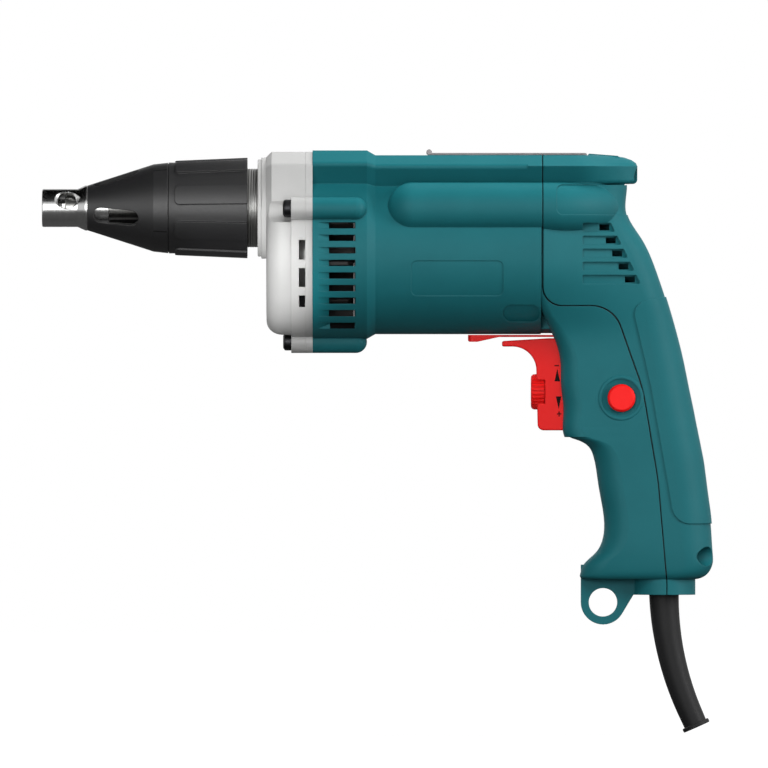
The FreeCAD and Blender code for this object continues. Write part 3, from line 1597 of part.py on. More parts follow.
def side_panel():
    """The shallow panel under the cap, which runs round the rear from side to side."""
    xs = (seam_place + S.panel_front, seam_place + S.panel_rear)
    corners = [
        (xs[0], -S.panel_bottom, S.panel_corner),
        (xs[1], -S.panel_bottom, S.panel_corner),
        (xs[1], S.panel_top, S.panel_corner),
        (xs[0], S.panel_top, S.panel_corner),
    ]
    bar = prism("panel_bar", "xz", corners, *both(S.barrel_radius * 2))
    floor = handle_loft("panel_floor", UPPER_HANDLE_SHARES, S.panel_depth)
    return cut("panel_recess", bar, fuse("panel_floors", floor, *bulges(S.panel_depth)))


def grip_panel():
    """The raised grip round the back of the handle."""
    far = S.overall_length + S.overrun
    corners = []
    for length_share, drop_share, round_share in GRIP_SHARES:
        rounding = S.handle_half_width * round_share
        corners.append((S.overall_length * length_share, -(S.handle_drop * drop_share), rounding))
    top = -(S.handle_drop * GRIP_SHARES[0][1]) + S.overrun
    bottom = -(S.handle_drop * GRIP_SHARES[-1][1])
    corners += [(far, bottom), (far, top)]
    bar = prism("grip_bar", "xz", corners, *both(S.barrel_radius))
    upper = handle_loft("grip_upper", UPPER_HANDLE_SHARES, -S.grip_height)
    lower = handle_loft("grip_lower", LOWER_HANDLE_SHARES, -S.grip_height)
    return common("grip_panel", bar, fuse("grip_form", upper, lower))


def handle_cover(form):
    recess, openings = louvres()
    hook_slot = block(
        "hook_slot",
        (hook_rear - S.hook_thickness - S.seat_gap, hook_rear + S.seat_gap),
        both(S.hook_half_width + S.seat_gap),
        (S.top_height - S.hook_tab_depth - S.seat_gap, S.top_height + S.overrun),
    )
    behind = common("cover_solid", fuse("cover_form", form, grip_panel()),
                    seam_region("seam_rear", S.seam_gap))
    rib = block("cover_rib", (seam_place + S.louvre_front, S.overall_length), both(S.cover_rib / 2),
                (-S.louvre_top - S.louvre_pitch * LOUVRE_COUNT, -S.louvre_top + S.louvre_height))
    cavity = cut("cover_room", handle_loft("cover_cavity", CAVITY_SHARES, ruled=True), rib)
    whole = cut("cover_whole", behind, cavity, recess, *openings, side_panel(), hook_slot,
                guard_room(), *cover_screw_holes("rear"))
    return finished(whole, "handle_cover")


def handle_screws():
    screws = []
    for seat, y, z in cover_screw_places():
        head_front = seat - S.screw_head_height
        head = rod("cover_screw_head", S.cover_screw_head, head_front, seat, at=(y, z))
        shank = rod("cover_screw_shank", S.cover_screw_radius, head_front - S.cover_screw_length,
                    seat, at=(y, z))
        screws.append(fuse("cover_screw", head, shank))
    return finished(fuse("cover_screws", *screws), "handle_screws")


# Belt hook, cord guard and the handle's contents

hook_rear = seam_place + S.hook_rear


def belt_hook():
    low = S.top_height + S.hook_lift
    high = low + S.hook_thickness
    strip = prism("hook_strip", "xz", [
        (S.hook_front + S.hook_curl_radius, low),
        (hook_rear - S.hook_thickness, low),
        (hook_rear - S.hook_thickness, S.top_height - S.hook_tab_depth),
        (hook_rear, S.top_height - S.hook_tab_depth),
        (hook_rear, high, S.hook_bend),
        (S.hook_front + S.hook_curl_radius, high),
    ], *both(S.hook_half_width))
    middle = S.hook_front + S.hook_curl_radius
    curl = rod("hook_curl", S.hook_curl_radius, *both(S.hook_half_width), "y",
               (middle, low + S.hook_curl_radius))
    return finished(fuse("hook_whole", strip, curl), "belt_hook")


def cord_guard():
    """A tapering sleeve: straight, then a gentle bend backwards, then straight to its lip."""
    bend = S.guard_bend_angle.number
    radius = S.guard_bend_radius.number
    start = Vector(S.guard_place.number, 0, -S.guard_flange_drop.number - S.seat_gap.number)
    turn_start = Vector(S.guard_place.number, 0, -S.guard_bend_drop.number)
    centre = turn_start + Vector(radius, 0, 0)

    def on_bend(angle):
        tilt = math.radians(angle)
        return centre + Vector(-radius * math.cos(tilt), 0, -radius * math.sin(tilt))

    way_out = Vector(math.sin(math.radians(bend)), 0, -math.cos(math.radians(bend)))
    turn_end = on_bend(bend)
    end = turn_end + way_out * S.guard_end_length.number
    path = Part.Wire([
        Part.LineSegment(start, turn_start).toShape(),
        Part.Arc(turn_start, on_bend(bend / 2), turn_end).toShape(),
        Part.LineSegment(turn_end, end).toShape(),
    ])
    down = Vector(0, 0, -1)

    def ring(size, at, axis):
        return Part.Wire(Part.Circle(at, axis, size.number).toShape())

    profiles = [ring(S.guard_top_radius, start, down), ring(S.guard_end_radius, end, way_out)]
    sleeve = path.makePipeShell(profiles, True, False)
    bore = path.makePipeShell([ring(S.guard_bore_radius, start, down)], True, False)
    flange = Part.makeCylinder(S.guard_flange_radius.number, S.guard_flange_height.number, start, down)
    lip = Part.makeCylinder(S.guard_lip_radius.number, S.guard_lip_length.number,
                            end - way_out * S.guard_lip_length.number, way_out)
    lip = lip.makeFillet(S.guard_lip_edge.number, lip.Edges)
    guard = doc.addObject("Part::Feature", "guard_sleeve")
    guard.Shape = sleeve.fuse([flange, lip]).cut(bore)
    return finished(guard, "cord_guard")


def handle_contents():
    bottom = -S.capacitor_drop - S.capacitor_height
    front = S.pocket_front + S.seat_gap
    capacitor = block("capacitor", (front, front + S.capacitor_length), both(S.capacitor_half_width),
                      (bottom, -S.capacitor_drop))
    finished(capacitor, "capacitor")
    reach = S.clamp_post_side + S.clamp_half_height
    strap = prism("clamp_strap", "yz", [
        (-reach, -S.clamp_drop - S.clamp_half_height, S.clamp_edge),
        (reach, -S.clamp_drop - S.clamp_half_height, S.clamp_edge),
        (reach, -S.clamp_drop + S.clamp_half_height, S.clamp_edge),
        (-reach, -S.clamp_drop + S.clamp_half_height, S.clamp_edge),
    ], clamp_front, clamp_front + S.clamp_thickness)
    back = clamp_front + S.clamp_thickness
    holes = []
    screws = []
    for at in clamp_places():
        holes.append(rod("strap_hole", S.clamp_screw_radius + S.seat_gap, clamp_front - S.overrun,
                         back + S.overrun, at=at))
        head = rod("clamp_screw_head", S.clamp_screw_head, back, back + S.clamp_screw_head_height, at=at)
        shank = rod("clamp_screw_shank", S.clamp_screw_radius, clamp_front - S.clamp_screw_depth + S.seat_gap,
                    back + S.seat_gap, at=at)
        screws.append(fuse("clamp_screw", head, shank))
    finished(cut("clamp_whole", strap, *holes), "cord_clamp")
    finished(fuse("clamp_screw_pair", *screws), "clamp_screws")


# Trigger, dial, lever, lock button and switch


def trigger():
    body = doc.addObject("PartDesign::Body", "trigger_blade")
    horn_low = -S.trigger_top - S.trigger_horn_depth
    outline = body_sketch(body, "trigger_outline", "XZ_Plane", [
        (S.trigger_horn, -S.trigger_top - S.trigger_horn_drop, S.trigger_tip_corner),
        (S.trigger_knee, -S.trigger_top),
        (S.trigger_rear, -S.trigger_top),
        (S.trigger_rear, -S.trigger_bottom),
        (S.trigger_face, -S.trigger_bottom, S.trigger_toe),
        (S.trigger_face - S.trigger_tip_corner, horn_low, S.trigger_curve),
        (S.trigger_horn, horn_low, S.trigger_tip_corner),
    ])
    blade = body.newObject("PartDesign::Pad", "trigger_pad")
    blade.Profile = outline
    blade.SideType = "Symmetric"
    bind(blade, "Length", S.trigger_half_width * 2)
    doc.recompute()
    half = S.trigger_half_width.number
    rims = []
    for number, edge in enumerate(body.Shape.Edges, start=1):
        on_side = all(abs(abs(v.Point.y) - half) < S.seat_gap.number for v in edge.Vertexes)
        spread = abs(edge.Vertexes[0].Point.y - edge.Vertexes[-1].Point.y)
        outside = min(v.Point.x for v in edge.Vertexes) < S.trigger_rear.number - S.seat_gap.number
        if on_side and spread < half and outside:
            rims.append(f"Edge{number}")
    soft = body.newObject("PartDesign::Fillet", "trigger_rims")
    soft.Base = (blade, rims)
    bind(soft, "Radius", S.trigger_edge)
    body.Tip = soft
    plunger = rod("trigger_plunger", S.plunger_radius, S.trigger_rear - S.overrun,
                  S.trigger_rear + S.plunger_length, at=(0, -S.plunger_drop))
    dial_back = S.dial_front + S.dial_length
    at = (0, -S.dial_drop)
    dial_room = rod("dial_room", S.dial_radius + S.free_gap, S.dial_front - S.overrun,
                    dial_back + S.free_gap, at=at)
    pin_room = rod("dial_pin_room", S.dial_pin_radius + S.run_gap, dial_back,
                   dial_back + S.dial_pin_length + S.free_gap, at=at)
    whole = cut("trigger_whole", fuse("trigger_form", body, plunger), dial_room, pin_room)
    finished(whole, "trigger")
    spring = coil("trigger_coil", S.trigger_wire / 2, S.trigger_coil_radius, TRIGGER_TURNS,
                  S.trigger_rear + S.seat_gap, S.switch_front + S.spring_room_depth - S.seat_gap,
                  at=(0, -S.plunger_drop))
    finished(spring, "trigger_spring")


def speed_dial():
    dial_back = S.dial_front + S.dial_length
    body = turned("speed_dial", [
        (S.dial_front, 0),
        (S.dial_front, S.dial_radius, S.dial_edge),
        (dial_back, S.dial_radius),
        (dial_back, S.dial_pin_radius),
        (dial_back + S.dial_pin_length, S.dial_pin_radius),
        (dial_back + S.dial_pin_length, 0),
    ], drop=S.dial_drop)
    half = S.dial_groove_width / 2
    floor = S.dial_radius - S.dial_groove_depth
    sketch = body_sketch(body, "dial_groove_outline", "XZ_Plane", [
        (S.dial_front - S.dial_edge, floor),
        (dial_back + S.dial_edge, floor),
        (dial_back + S.dial_edge, S.dial_radius + S.dial_edge),
        (S.dial_front - S.dial_edge, S.dial_radius + S.dial_edge),
    ])
    groove = body.newObject("PartDesign::Pocket", "dial_groove")
    groove.Profile = sketch
    groove.SideType = "Symmetric"
    bind(groove, "Length", half * 2)
    polar(body, groove, sketch, DIAL_GROOVES)
    return finished(body, "speed_dial")


def reverse_lever():
    top = -motor_drop - S.barrel_radius - S.free_gap
    low = top - S.lever_thickness
    tab_low = top - S.lever_tab_height
    tab_end = S.lever_front + S.lever_tab_length
    side = prism("lever_side", "xz", [
        (S.lever_front, tab_low, S.lever_thickness),
        (tab_end - S.lever_tab_slope, tab_low),
        (tab_end, low),
        (S.lever_pivot + S.lever_tail, low),
        (S.lever_pivot + S.lever_tail, top),
        (S.lever_front, top),
    ], *both(S.lever_tab_half_width))
    plan = prism("lever_plan", "xy", [
        (S.lever_front, -S.lever_tab_half_width, S.lever_thickness * 2),
        (tab_end, -S.lever_tab_half_width, S.lever_thickness * 2),
        (tab_end + S.lever_tail, -S.lever_half_width),
        (S.lever_pivot + S.lever_tail, -S.lever_half_width),
        (S.lever_pivot + S.lever_tail, S.lever_half_width),
        (tab_end + S.lever_tail, S.lever_half_width),
        (tab_end, S.lever_tab_half_width, S.lever_thickness * 2),
        (S.lever_front, S.lever_tab_half_width, S.lever_thickness * 2),
    ], tab_low - S.overrun, top + S.overrun)
    pin = rod("lever_pin", S.lever_pin_radius, low - S.lever_pin_length, top, "z", (S.lever_pivot, 0))
    return finished(fuse("lever_whole", common("lever_bar", side, plan), pin), "reverse_lever")


def lock_button():
    outside = -S.handle_half_width - S.button_reach
    inside = outside + S.button_length
    at = (S.button_place, -S.button_drop)
    knob = rod("button_knob", S.button_radius, outside + S.button_edge, inside, "y", at)
    crown = taper("button_crown", S.button_radius - S.button_edge, S.button_radius, outside,
                  outside + S.button_edge, "y", at)
    finished(fuse("button_whole", knob, crown), "lock_button")
    floor = -S.switch_half_width + S.lock_socket_depth
    spring = coil("lock_coil", S.lock_wire / 2, S.lock_coil_radius, LOCK_TURNS, inside + S.seat_gap,
                  floor - S.seat_gap, "y", at)
    finished(spring, "lock_spring")


def switch_unit():
    front = S.switch_front
    case = block("switch_case", (front, front + S.switch_length), both(S.switch_half_width),
                 (-S.switch_top - S.switch_height, -S.switch_top))
    at = (0, -S.plunger_drop)
    plunger_end = S.trigger_rear + S.plunger_length + S.plunger_room
    bore = rod("switch_bore", S.plunger_radius + S.run_gap, front - S.overrun, plunger_end, at=at)
    spring_room = rod("switch_spring_room", S.spring_room_radius, front - S.overrun,
                      front + S.spring_room_depth, at=at)
    pin_low = -motor_drop - S.barrel_radius - S.free_gap - S.lever_thickness - S.lever_pin_length
    pivot = rod("switch_pivot", S.lever_pin_radius + S.run_gap, pin_low - S.free_gap,
                -S.switch_top + S.overrun, "z", (S.lever_pivot, 0))
    socket = rod("switch_socket", S.lock_socket_radius, -S.switch_half_width - S.overrun,
                 -S.switch_half_width + S.lock_socket_depth, "y", (S.button_place, -S.button_drop))
    return finished(cut("switch_whole", case, bore, spring_room, pivot, socket), "switch_unit")


# Motor


def bearings():
    edge = S.bearing_edge
    inner = S.shaft_radius + S.run_gap
    front = turned("front_bearing", [
        (bearing_front, inner),
        (bearing_front, S.bearing_radius, edge),
        (bearing_back, S.bearing_radius, edge),
        (bearing_back, inner),
    ], drop=motor_drop)
    finished(front, "front_bearing")
    inner = S.rear_journal_radius + S.run_gap
    rear = turned("rear_bearing", [
        (rear_bearing_front, inner),
        (rear_bearing_front, S.rear_bearing_radius, edge),
        (rear_bearing_back, S.rear_bearing_radius, edge),
        (rear_bearing_back, inner),
    ], drop=motor_drop)
    finished(rear, "rear_bearing")
    outer = S.rear_bearing_radius + S.bearing_sleeve_wall
    sleeve = tube("bearing_sleeve", S.rear_bearing_radius + S.seat_gap, outer, rear_bearing_front,
                  rear_bearing_back, motor_drop)
    finished(sleeve, "bearing_sleeve")


def armature_shaft():
    step = rear_bearing_front - S.free_gap
    shaft = turned("shaft_bar", [
        (gear_back, 0),
        (gear_back, S.shaft_radius),
        (step, S.shaft_radius),
        (step, S.rear_journal_radius),
        (shaft_end, S.rear_journal_radius),
        (shaft_end, 0),
    ])
    pinion = doc.addObject("Part::Feature", "pinion")
    gap_up = 90 + 180 / PINION_TEETH
    pinion.Shape = toothed_disc(PINION_TEETH, TOOTH_SHIFT_SHARE, gear_front, gear_back + S.seat_gap, gap_up)
    whole = fuse("shaft_whole", shaft, pinion)
    bind(whole, "Placement.Base.z", -motor_drop)
    return finished(whole, "armature_shaft")


def armature_core():
    running = S.shaft_radius + S.seat_gap
    body = turned("armature_core", [
        (field_front, running),
        (field_front, S.core_radius),
        (field_back, S.core_radius),
        (field_back, running),
    ], drop=motor_drop)
    sketch = body_sketch(body, "core_slot_outline", "XZ_Plane", [
        (field_front - S.overrun, S.core_radius - S.core_slot_depth),
        (field_back + S.overrun, S.core_radius - S.core_slot_depth),
        (field_back + S.overrun, S.core_radius + S.overrun),
        (field_front - S.overrun, S.core_radius + S.overrun),
    ])
    slot = body.newObject("PartDesign::Pocket", "core_slot")
    slot.Profile = sketch
    slot.SideType = "Symmetric"
    bind(slot, "Length", S.core_slot_width)
    polar(body, slot, sketch, CORE_SLOTS)
    return finished(body, "armature_core")


def armature_windings():
    """A bundle of wire at each end of the core, joined by the wires in its slots."""
    inner = S.shaft_radius + S.winding_gap
    front = field_front - S.winding_overhang_front
    rear = field_back + S.winding_overhang_rear
    body = turned("armature_windings", [
        (front, inner),
        (front, S.winding_radius, S.winding_edge),
        (field_front - S.seat_gap, S.winding_radius),
        (field_front - S.seat_gap, inner),
    ], drop=motor_drop)
    tail = body_sketch(body, "winding_tail_outline", "XZ_Plane", [
        (field_back + S.seat_gap, inner),
        (field_back + S.seat_gap, S.winding_radius),
        (rear, S.winding_radius, S.winding_edge),
        (rear, inner),
    ])
    low = S.core_radius - S.core_slot_depth + S.seat_gap
    wires = body_sketch(body, "winding_wire_outline", "XZ_Plane", [
        (field_front - S.seat_gap * 2, low),
        (field_back + S.seat_gap * 2, low),
        (field_back + S.seat_gap * 2, S.winding_radius),
        (field_front - S.seat_gap * 2, S.winding_radius),
    ])
    bundle = body.newObject("PartDesign::Pad", "winding_wire")
    bundle.Profile = wires
    bundle.SideType = "Symmetric"
    bind(bundle, "Length", S.core_slot_width - S.seat_gap * 2)
    polar(body, bundle, wires, CORE_SLOTS)
    end = body.newObject("PartDesign::Revolution", "winding_tail")
    end.Profile = tail
    end.ReferenceAxis = (tail, ["H_Axis"])
    body.Tip = end
    return finished(body, "armature_windings")


def commutator():
    running = S.shaft_radius + S.seat_gap
    body = turned("commutator", [
        (commutator_front, running),
        (commutator_front, S.commutator_radius),
        (commutator_back, S.commutator_radius),
        (commutator_back, running),
    ], drop=motor_drop)
    sketch = body_sketch(body, "commutator_slit_outline", "XZ_Plane", [
        (commutator_front - S.overrun, S.commutator_radius - S.commutator_slit_depth),
        (commutator_back + S.overrun, S.commutator_radius - S.commutator_slit_depth),
        (commutator_back + S.overrun, S.commutator_radius + S.overrun),
        (commutator_front - S.overrun, S.commutator_radius + S.overrun),
    ])
    slit = body.newObject("PartDesign::Pocket", "commutator_slit")
    slit.Profile = sketch
    slit.SideType = "Symmetric"
    bind(slit, "Length", S.commutator_slit_width)
    polar(body, slit, sketch, COMMUTATOR_BARS)
    return finished(body, "commutator")


def fan():
    running = S.shaft_radius + S.seat_gap
    body = turned("fan", [
        (fan_front, running),
        (fan_front, S.fan_radius),
        (fan_front + S.fan_disc, S.fan_radius),
        (fan_front + S.fan_disc, S.fan_hub_radius),
        (fan_back, S.fan_hub_radius),
        (fan_back, running),
    ], drop=motor_drop)
    sketch = body_sketch(body, "fan_blade_outline", "XZ_Plane", [
        (fan_front + S.fan_disc / 2, S.fan_hub_radius - S.fan_blade),
        (fan_back, S.fan_hub_radius - S.fan_blade),
        (fan_back, S.fan_radius - S.fan_corner),
        (fan_back - S.fan_corner, S.fan_radius),
        (fan_front + S.fan_disc / 2, S.fan_radius),
    ])
    blade = body.newObject("PartDesign::Pad", "fan_blade")
    blade.Profile = sketch
    blade.SideType = "Symmetric"
    bind(blade, "Length", S.fan_blade)
    polar(body, blade, sketch, FAN_BLADES)
    return finished(body, "fan")


def sector(name, inner, outer, start, end, angle, upwards):
    """Part of a ring about the motor axis, centred on up or down."""
    wedge = rod(name + "_wedge", outer, start, end)
    bind(wedge, "Angle", angle)
    middle = 90 if upwards else -90
    turn = Rotation(Vector(1, 0, 0), middle - as_size(angle).number / 2)
    wedge.Placement = FreeCAD.Placement(Vector(), turn.multiply(AROUND))
    bind(wedge, "Placement.Base.x", start)
    bind(wedge, "Placement.Base.z", -motor_drop)
    bore = rod(name + "_bore", inner, start - S.overrun, end + S.overrun, at=(0, -motor_drop))
    return cut(name, wedge, bore)


def field():
    """Laminated yoke with two poles, and a coil around each pole's neck."""
    axis = (0, -motor_drop)
    yoke_inner = S.field_radius - S.yoke_wall
    yoke = tube("yoke", yoke_inner, S.field_radius, field_front, field_back, motor_drop)
    neck = S.pole_neck
    pieces_of_core = [yoke]
    coils = []
    shoe_outer = S.pole_radius + S.pole_shoe
    for upwards in (True, False):
        pieces_of_core.append(sector("pole_shoe", S.pole_radius, shoe_outer, field_front, field_back,
                                     S.pole_angle, upwards))
        reach = (S.pole_radius + S.pole_shoe / 2, S.field_radius - S.yoke_wall / 2)
        zs = reach if upwards else (-reach[1], -reach[0])
        zs = (zs[0] - motor_drop, zs[1] - motor_drop)
        pieces_of_core.append(block("pole_neck", (field_front, field_back), both(neck), zs))
        front = field_front - S.coil_overhang_front
        rear = field_back + S.coil_overhang_rear
        ring = sector("coil_ring", shoe_outer + S.free_gap, yoke_inner - S.free_gap, front, rear,
                      S.coil_angle, upwards)
        far = S.field_radius + S.overrun
        window = (-motor_drop, far - motor_drop) if upwards else (-far - motor_drop, -motor_drop)
        hole = block("coil_window", (field_front - S.free_gap, field_back + S.free_gap),
                     both(neck + S.free_gap), window)
        coils.append(cut("coil", ring, hole))
    bore = rod("field_bore", S.pole_radius, field_front - S.overrun, field_back + S.overrun, at=axis)
    finished(cut("field_whole", fuse("field_blank", *pieces_of_core), bore), "field_core")
    finished(fuse("coil_pair", *coils), "field_coils")
    baffle = tube("baffle_ring", S.baffle_bore_radius, S.chamber_radius - S.seat_gap,
                  chamber_back - S.baffle_thickness, chamber_back, motor_drop)
    finished(baffle, "baffle_ring")


def brushes():
    """On each side of the commutator a brass holder with a carbon brush and its spring."""
    holders = []
    carbons = []
    springs = []
    width = S.brush_width / 2
    height = S.brush_height / 2
    inner = S.commutator_radius + S.run_gap
    brush_end = inner + S.brush_length
    wall = S.holder_wall
    gap = S.seat_gap
    for side in (-1, 1):
        def reach(low, high, side=side):
            return (low, high) if side > 0 else (-high, -low)

        def shell(name, grow, low, high):
            xs = (brush_place - width - grow, brush_place + width + grow)
            zs = (-motor_drop - height - grow, -motor_drop + height + grow)
            return block(name, xs, reach(low, high), zs)

        start = S.commutator_radius + S.holder_clear
        case = shell("holder_case", wall + gap, start, S.holder_reach)
        room = shell("holder_room", gap, start - S.overrun, S.holder_reach - wall)
        holders.append(cut("holder", case, room))
        carbons.append(shell("brush", as_size(0), inner, brush_end))
        low, high = reach(brush_end + gap, S.holder_reach - wall - gap)
        springs.append(coil("brush_coil", S.brush_wire / 2, S.brush_coil_radius, BRUSH_TURNS, low, high, "y",
                            (brush_place, -motor_drop)))
    finished(fuse("holder_pair", *holders), "brush_holders")
    finished(fuse("brush_pair", *carbons), "carbon_brushes")
    finished(fuse("brush_spring_pair", *springs), "brush_springs")


def build():
    locator_tip()
    locator_cone()
    adjusting_ring()
    click_ring()
    neck_sleeve()
    spindle_bearings()
    spindle()
    bit_holder()
    driver_bit()
    drive_gear()
    clutch_spring()
    gear_housing()
    gear_housing_cover()
    gear_housing_screws()
    form = outer_form()
    motor_housing(form)
    handle_cover(form)
    handle_screws()
    belt_hook()
    cord_guard()
    handle_contents()
    trigger()
    speed_dial()
    reverse_lever()
    lock_button()
    switch_unit()
    bearings()
    armature_shaft()
    armature_core()
    armature_windings()
    commutator()
    fan()
    field()
    brushes()


def write():
    """Check every object, then write one file for each sub-part."""
    doc.recompute()
    broken = [item.Name for item in doc.Objects if {"Invalid", "Error"} & set(item.State)]
    broken += [item.Label for item in pieces if item.Shape.isNull() or not item.Shape.isValid()]
    if broken:
        raise RuntimeError("these objects failed: " + ", ".join(broken))
    os.makedirs("parts", exist_ok=True)
    for item in pieces:
        item.Shape.exportStep(f"parts/{item.Label}.step")


build()
write()
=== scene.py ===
"""Looks of a pistol-grip drywall screwdriver: finishes for every CAD piece, small fittings, light and camera."""

import math

import bmesh
import bpy
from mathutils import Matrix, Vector
from mathutils.bvhtree import BVHTree


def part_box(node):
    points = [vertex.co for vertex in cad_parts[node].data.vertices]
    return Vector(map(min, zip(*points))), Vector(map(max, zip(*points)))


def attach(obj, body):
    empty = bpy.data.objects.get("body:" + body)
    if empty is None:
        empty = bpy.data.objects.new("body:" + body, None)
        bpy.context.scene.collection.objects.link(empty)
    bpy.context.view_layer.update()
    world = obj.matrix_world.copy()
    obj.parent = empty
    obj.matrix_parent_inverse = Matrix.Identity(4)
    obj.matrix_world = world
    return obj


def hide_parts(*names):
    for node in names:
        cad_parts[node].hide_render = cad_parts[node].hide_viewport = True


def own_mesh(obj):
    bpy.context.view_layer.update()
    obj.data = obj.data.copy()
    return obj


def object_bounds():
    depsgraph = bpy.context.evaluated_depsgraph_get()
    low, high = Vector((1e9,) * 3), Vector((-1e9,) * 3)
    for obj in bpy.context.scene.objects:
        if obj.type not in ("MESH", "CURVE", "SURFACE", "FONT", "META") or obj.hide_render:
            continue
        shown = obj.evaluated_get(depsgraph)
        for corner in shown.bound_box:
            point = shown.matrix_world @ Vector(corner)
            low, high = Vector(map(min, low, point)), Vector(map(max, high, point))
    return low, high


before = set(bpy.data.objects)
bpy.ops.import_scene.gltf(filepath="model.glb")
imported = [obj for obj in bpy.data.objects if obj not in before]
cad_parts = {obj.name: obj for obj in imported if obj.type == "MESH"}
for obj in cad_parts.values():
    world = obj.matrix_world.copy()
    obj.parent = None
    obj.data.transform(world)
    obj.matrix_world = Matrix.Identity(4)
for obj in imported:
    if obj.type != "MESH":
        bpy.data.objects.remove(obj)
cad_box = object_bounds()
MM = 0.001
FULL_TURN = 2 * math.pi
BESIDE = 60 * MM  # How far from the middle plane a ray starts to be clear of the object.


# Shader helpers


def linear(hex_colour):
    """An sRGB hex colour as linear red, green and blue with full cover."""
    parts = [int(hex_colour[i:i + 2], 16) / 255 for i in (1, 3, 5)]
    return [c / 12.92 if c <= 0.04045 else ((c + 0.055) / 1.055) ** 2.4 for c in parts] + [1.0]


def add(tree, kind, inputs=None, **settings):
    """Adds a node. Each input is a value, or a node and the name of its output to link from."""
    made = tree.nodes.new(kind)
    for name, value in settings.items():
        setattr(made, name, value)
    for name, value in (inputs or {}).items():
        if isinstance(value, tuple) and isinstance(value[0], bpy.types.Node):
            tree.links.new(value[0].outputs[value[1]], made.inputs[name])
        else:
            made.inputs[name].default_value = value
    return made


def empty_material(name):
    """A material with nothing in it, and its tree."""
    material = bpy.data.materials.new(name)
    material.use_nodes = True
    material.node_tree.nodes.clear()
    return material, material.node_tree


def millimetres(tree):
    """Coordinates on the piece itself that count millimetres."""
    place = add(tree, "ShaderNodeTexCoord")
    return add(tree, "ShaderNodeMapping", {"Vector": (place, "Object"), "Scale": (1 / MM, 1 / MM, 1 / MM)})


def noise(tree, where, size, detail):
    """Soft blots about this many units of the coordinates across."""
    return add(tree, "ShaderNodeTexNoise", {"Vector": (where, "Vector"), "Scale": 1 / size, "Detail": detail})


def blend(tree, share, low, high):
    """A colour between two others, by a share from 0 to 1."""
    return add(tree, "ShaderNodeMix", {"Factor": share, "A": low, "B": high}, data_type="RGBA")


def swing(tree, texture, middle, reach):
    """A value that goes up and down about a middle with a texture."""
    return add(tree, "ShaderNodeMapRange", {"Value": (texture, "Fac"), "To Min": middle - reach,
                                            "To Max": middle + reach})


def rounded_normal(tree, radius):
    """The surface's normal with its edges rounded by a radius in millimetres."""
    return add(tree, "ShaderNodeBevel", {"Radius": radius * MM}, samples=4)


def worn_rim(tree, rounded):
    """How sharply the surface turns here, from 0 on a flat to 1 on a rim."""
    flat_likeness, rim_likeness = 0.995, 0.80
    flat = add(tree, "ShaderNodeNewGeometry")
    likeness = add(tree, "ShaderNodeVectorMath", {0: (rounded, "Normal"), 1: (flat, "Normal")},
                   operation="DOT_PRODUCT")
    return add(tree, "ShaderNodeMapRange", {"Value": (likeness, "Value"), "From Min": flat_likeness,
                                            "From Max": rim_likeness})


def pitted(tree, texture, relief, rounded, strength):
    """The rounded normal with a texture's relief on it, its depth in millimetres."""
    return add(tree, "ShaderNodeBump", {"Height": (texture, "Fac"), "Strength": strength,
                                        "Distance": relief * MM, "Normal": (rounded, "Normal")})


def skin_shader(tree, tint, dull, bump, kind):
    """Ends a finish's tree with its colour, roughness and relief, and what its kind of material adds."""
    shader = add(tree, "ShaderNodeBsdfPrincipled", {
        "Base Color": (tint, "Result"), "Roughness": (dull, "Result"), "Normal": (bump, "Normal"), **kind})
    add(tree, "ShaderNodeOutputMaterial", {"Surface": (shader, "BSDF")})


def moulded(name, colour, shade, rim_colour, grain, roughness, relief=0.02, specular=0.5, wear=0.5):
    """A moulded polymer: a faint drift of colour from the melt, a spark-eroded grain, and paler rubbed rims."""
    drift_size, edge, unevenness, polymer_ior = 14, 0.5, 0.06, 1.5
    material, tree = empty_material(name)
    mm = millimetres(tree)
    drift = noise(tree, mm, drift_size, detail=3.0)
    body = blend(tree, (drift, "Fac"), linear(shade), linear(colour))
    texture = noise(tree, mm, grain, detail=2.0)
    rounded = rounded_normal(tree, edge)
    rub = add(tree, "ShaderNodeMath", {0: (worn_rim(tree, rounded), "Result"), 1: wear}, operation="MULTIPLY")
    tint = blend(tree, (rub, "Value"), (body, "Result"), linear(rim_colour))
    dull = swing(tree, texture, roughness, unevenness)
    bump = pitted(tree, texture, relief, rounded, strength=0.5)
    skin_shader(tree, tint, dull, bump, {"IOR": polymer_ior, "Specular IOR Level": specular})
    return material


def turned(name, colour, shade, pitch, roughness, relief=0.004):
    """A turned or ground metal: fine rings left by the tool, round the X axis that every turned piece is made on."""
    edge, unevenness, stretch = 0.3, 0.05, 0.04
    material, tree = empty_material(name)
    rings = add(tree, "ShaderNodeMapping", {"Vector": (millimetres(tree), "Vector"),
                                            "Scale": (1 / pitch, stretch, stretch)})
    lines = noise(tree, rings, size=1.0, detail=2.0)
    tint = blend(tree, (lines, "Fac"), linear(shade), linear(colour))
    dull = swing(tree, lines, roughness, unevenness)
    bump = pitted(tree, lines, relief, rounded_normal(tree, edge), strength=0.4)
    skin_shader(tree, tint, dull, bump, {"Metallic": 1.0})
    return material


def grainy_metal(name, colour, shade, grain, roughness, relief, metallic=1.0):
    """A metal with a cast, sintered, blackened or enamelled skin: small soft pits all over, none in line."""
    cloud_size, edge, unevenness = 11, 0.5, 0.08
    material, tree = empty_material(name)
    mm = millimetres(tree)
    skin = noise(tree, mm, grain, detail=3.0)
    cloud = noise(tree, mm, cloud_size, detail=2.0)
    tint = blend(tree, (cloud, "Fac"), linear(shade), linear(colour))
    dull = swing(tree, skin, roughness, unevenness)
    bump = pitted(tree, skin, relief, rounded_normal(tree, edge), strength=0.5)
    skin_shader(tree, tint, dull, bump, {"Metallic": metallic})
    return material


# Finishes. Grains of 0.1 to 0.3 mm are drawn at about 1 mm, or they would not show at this picture's 0.4 mm a pixel.

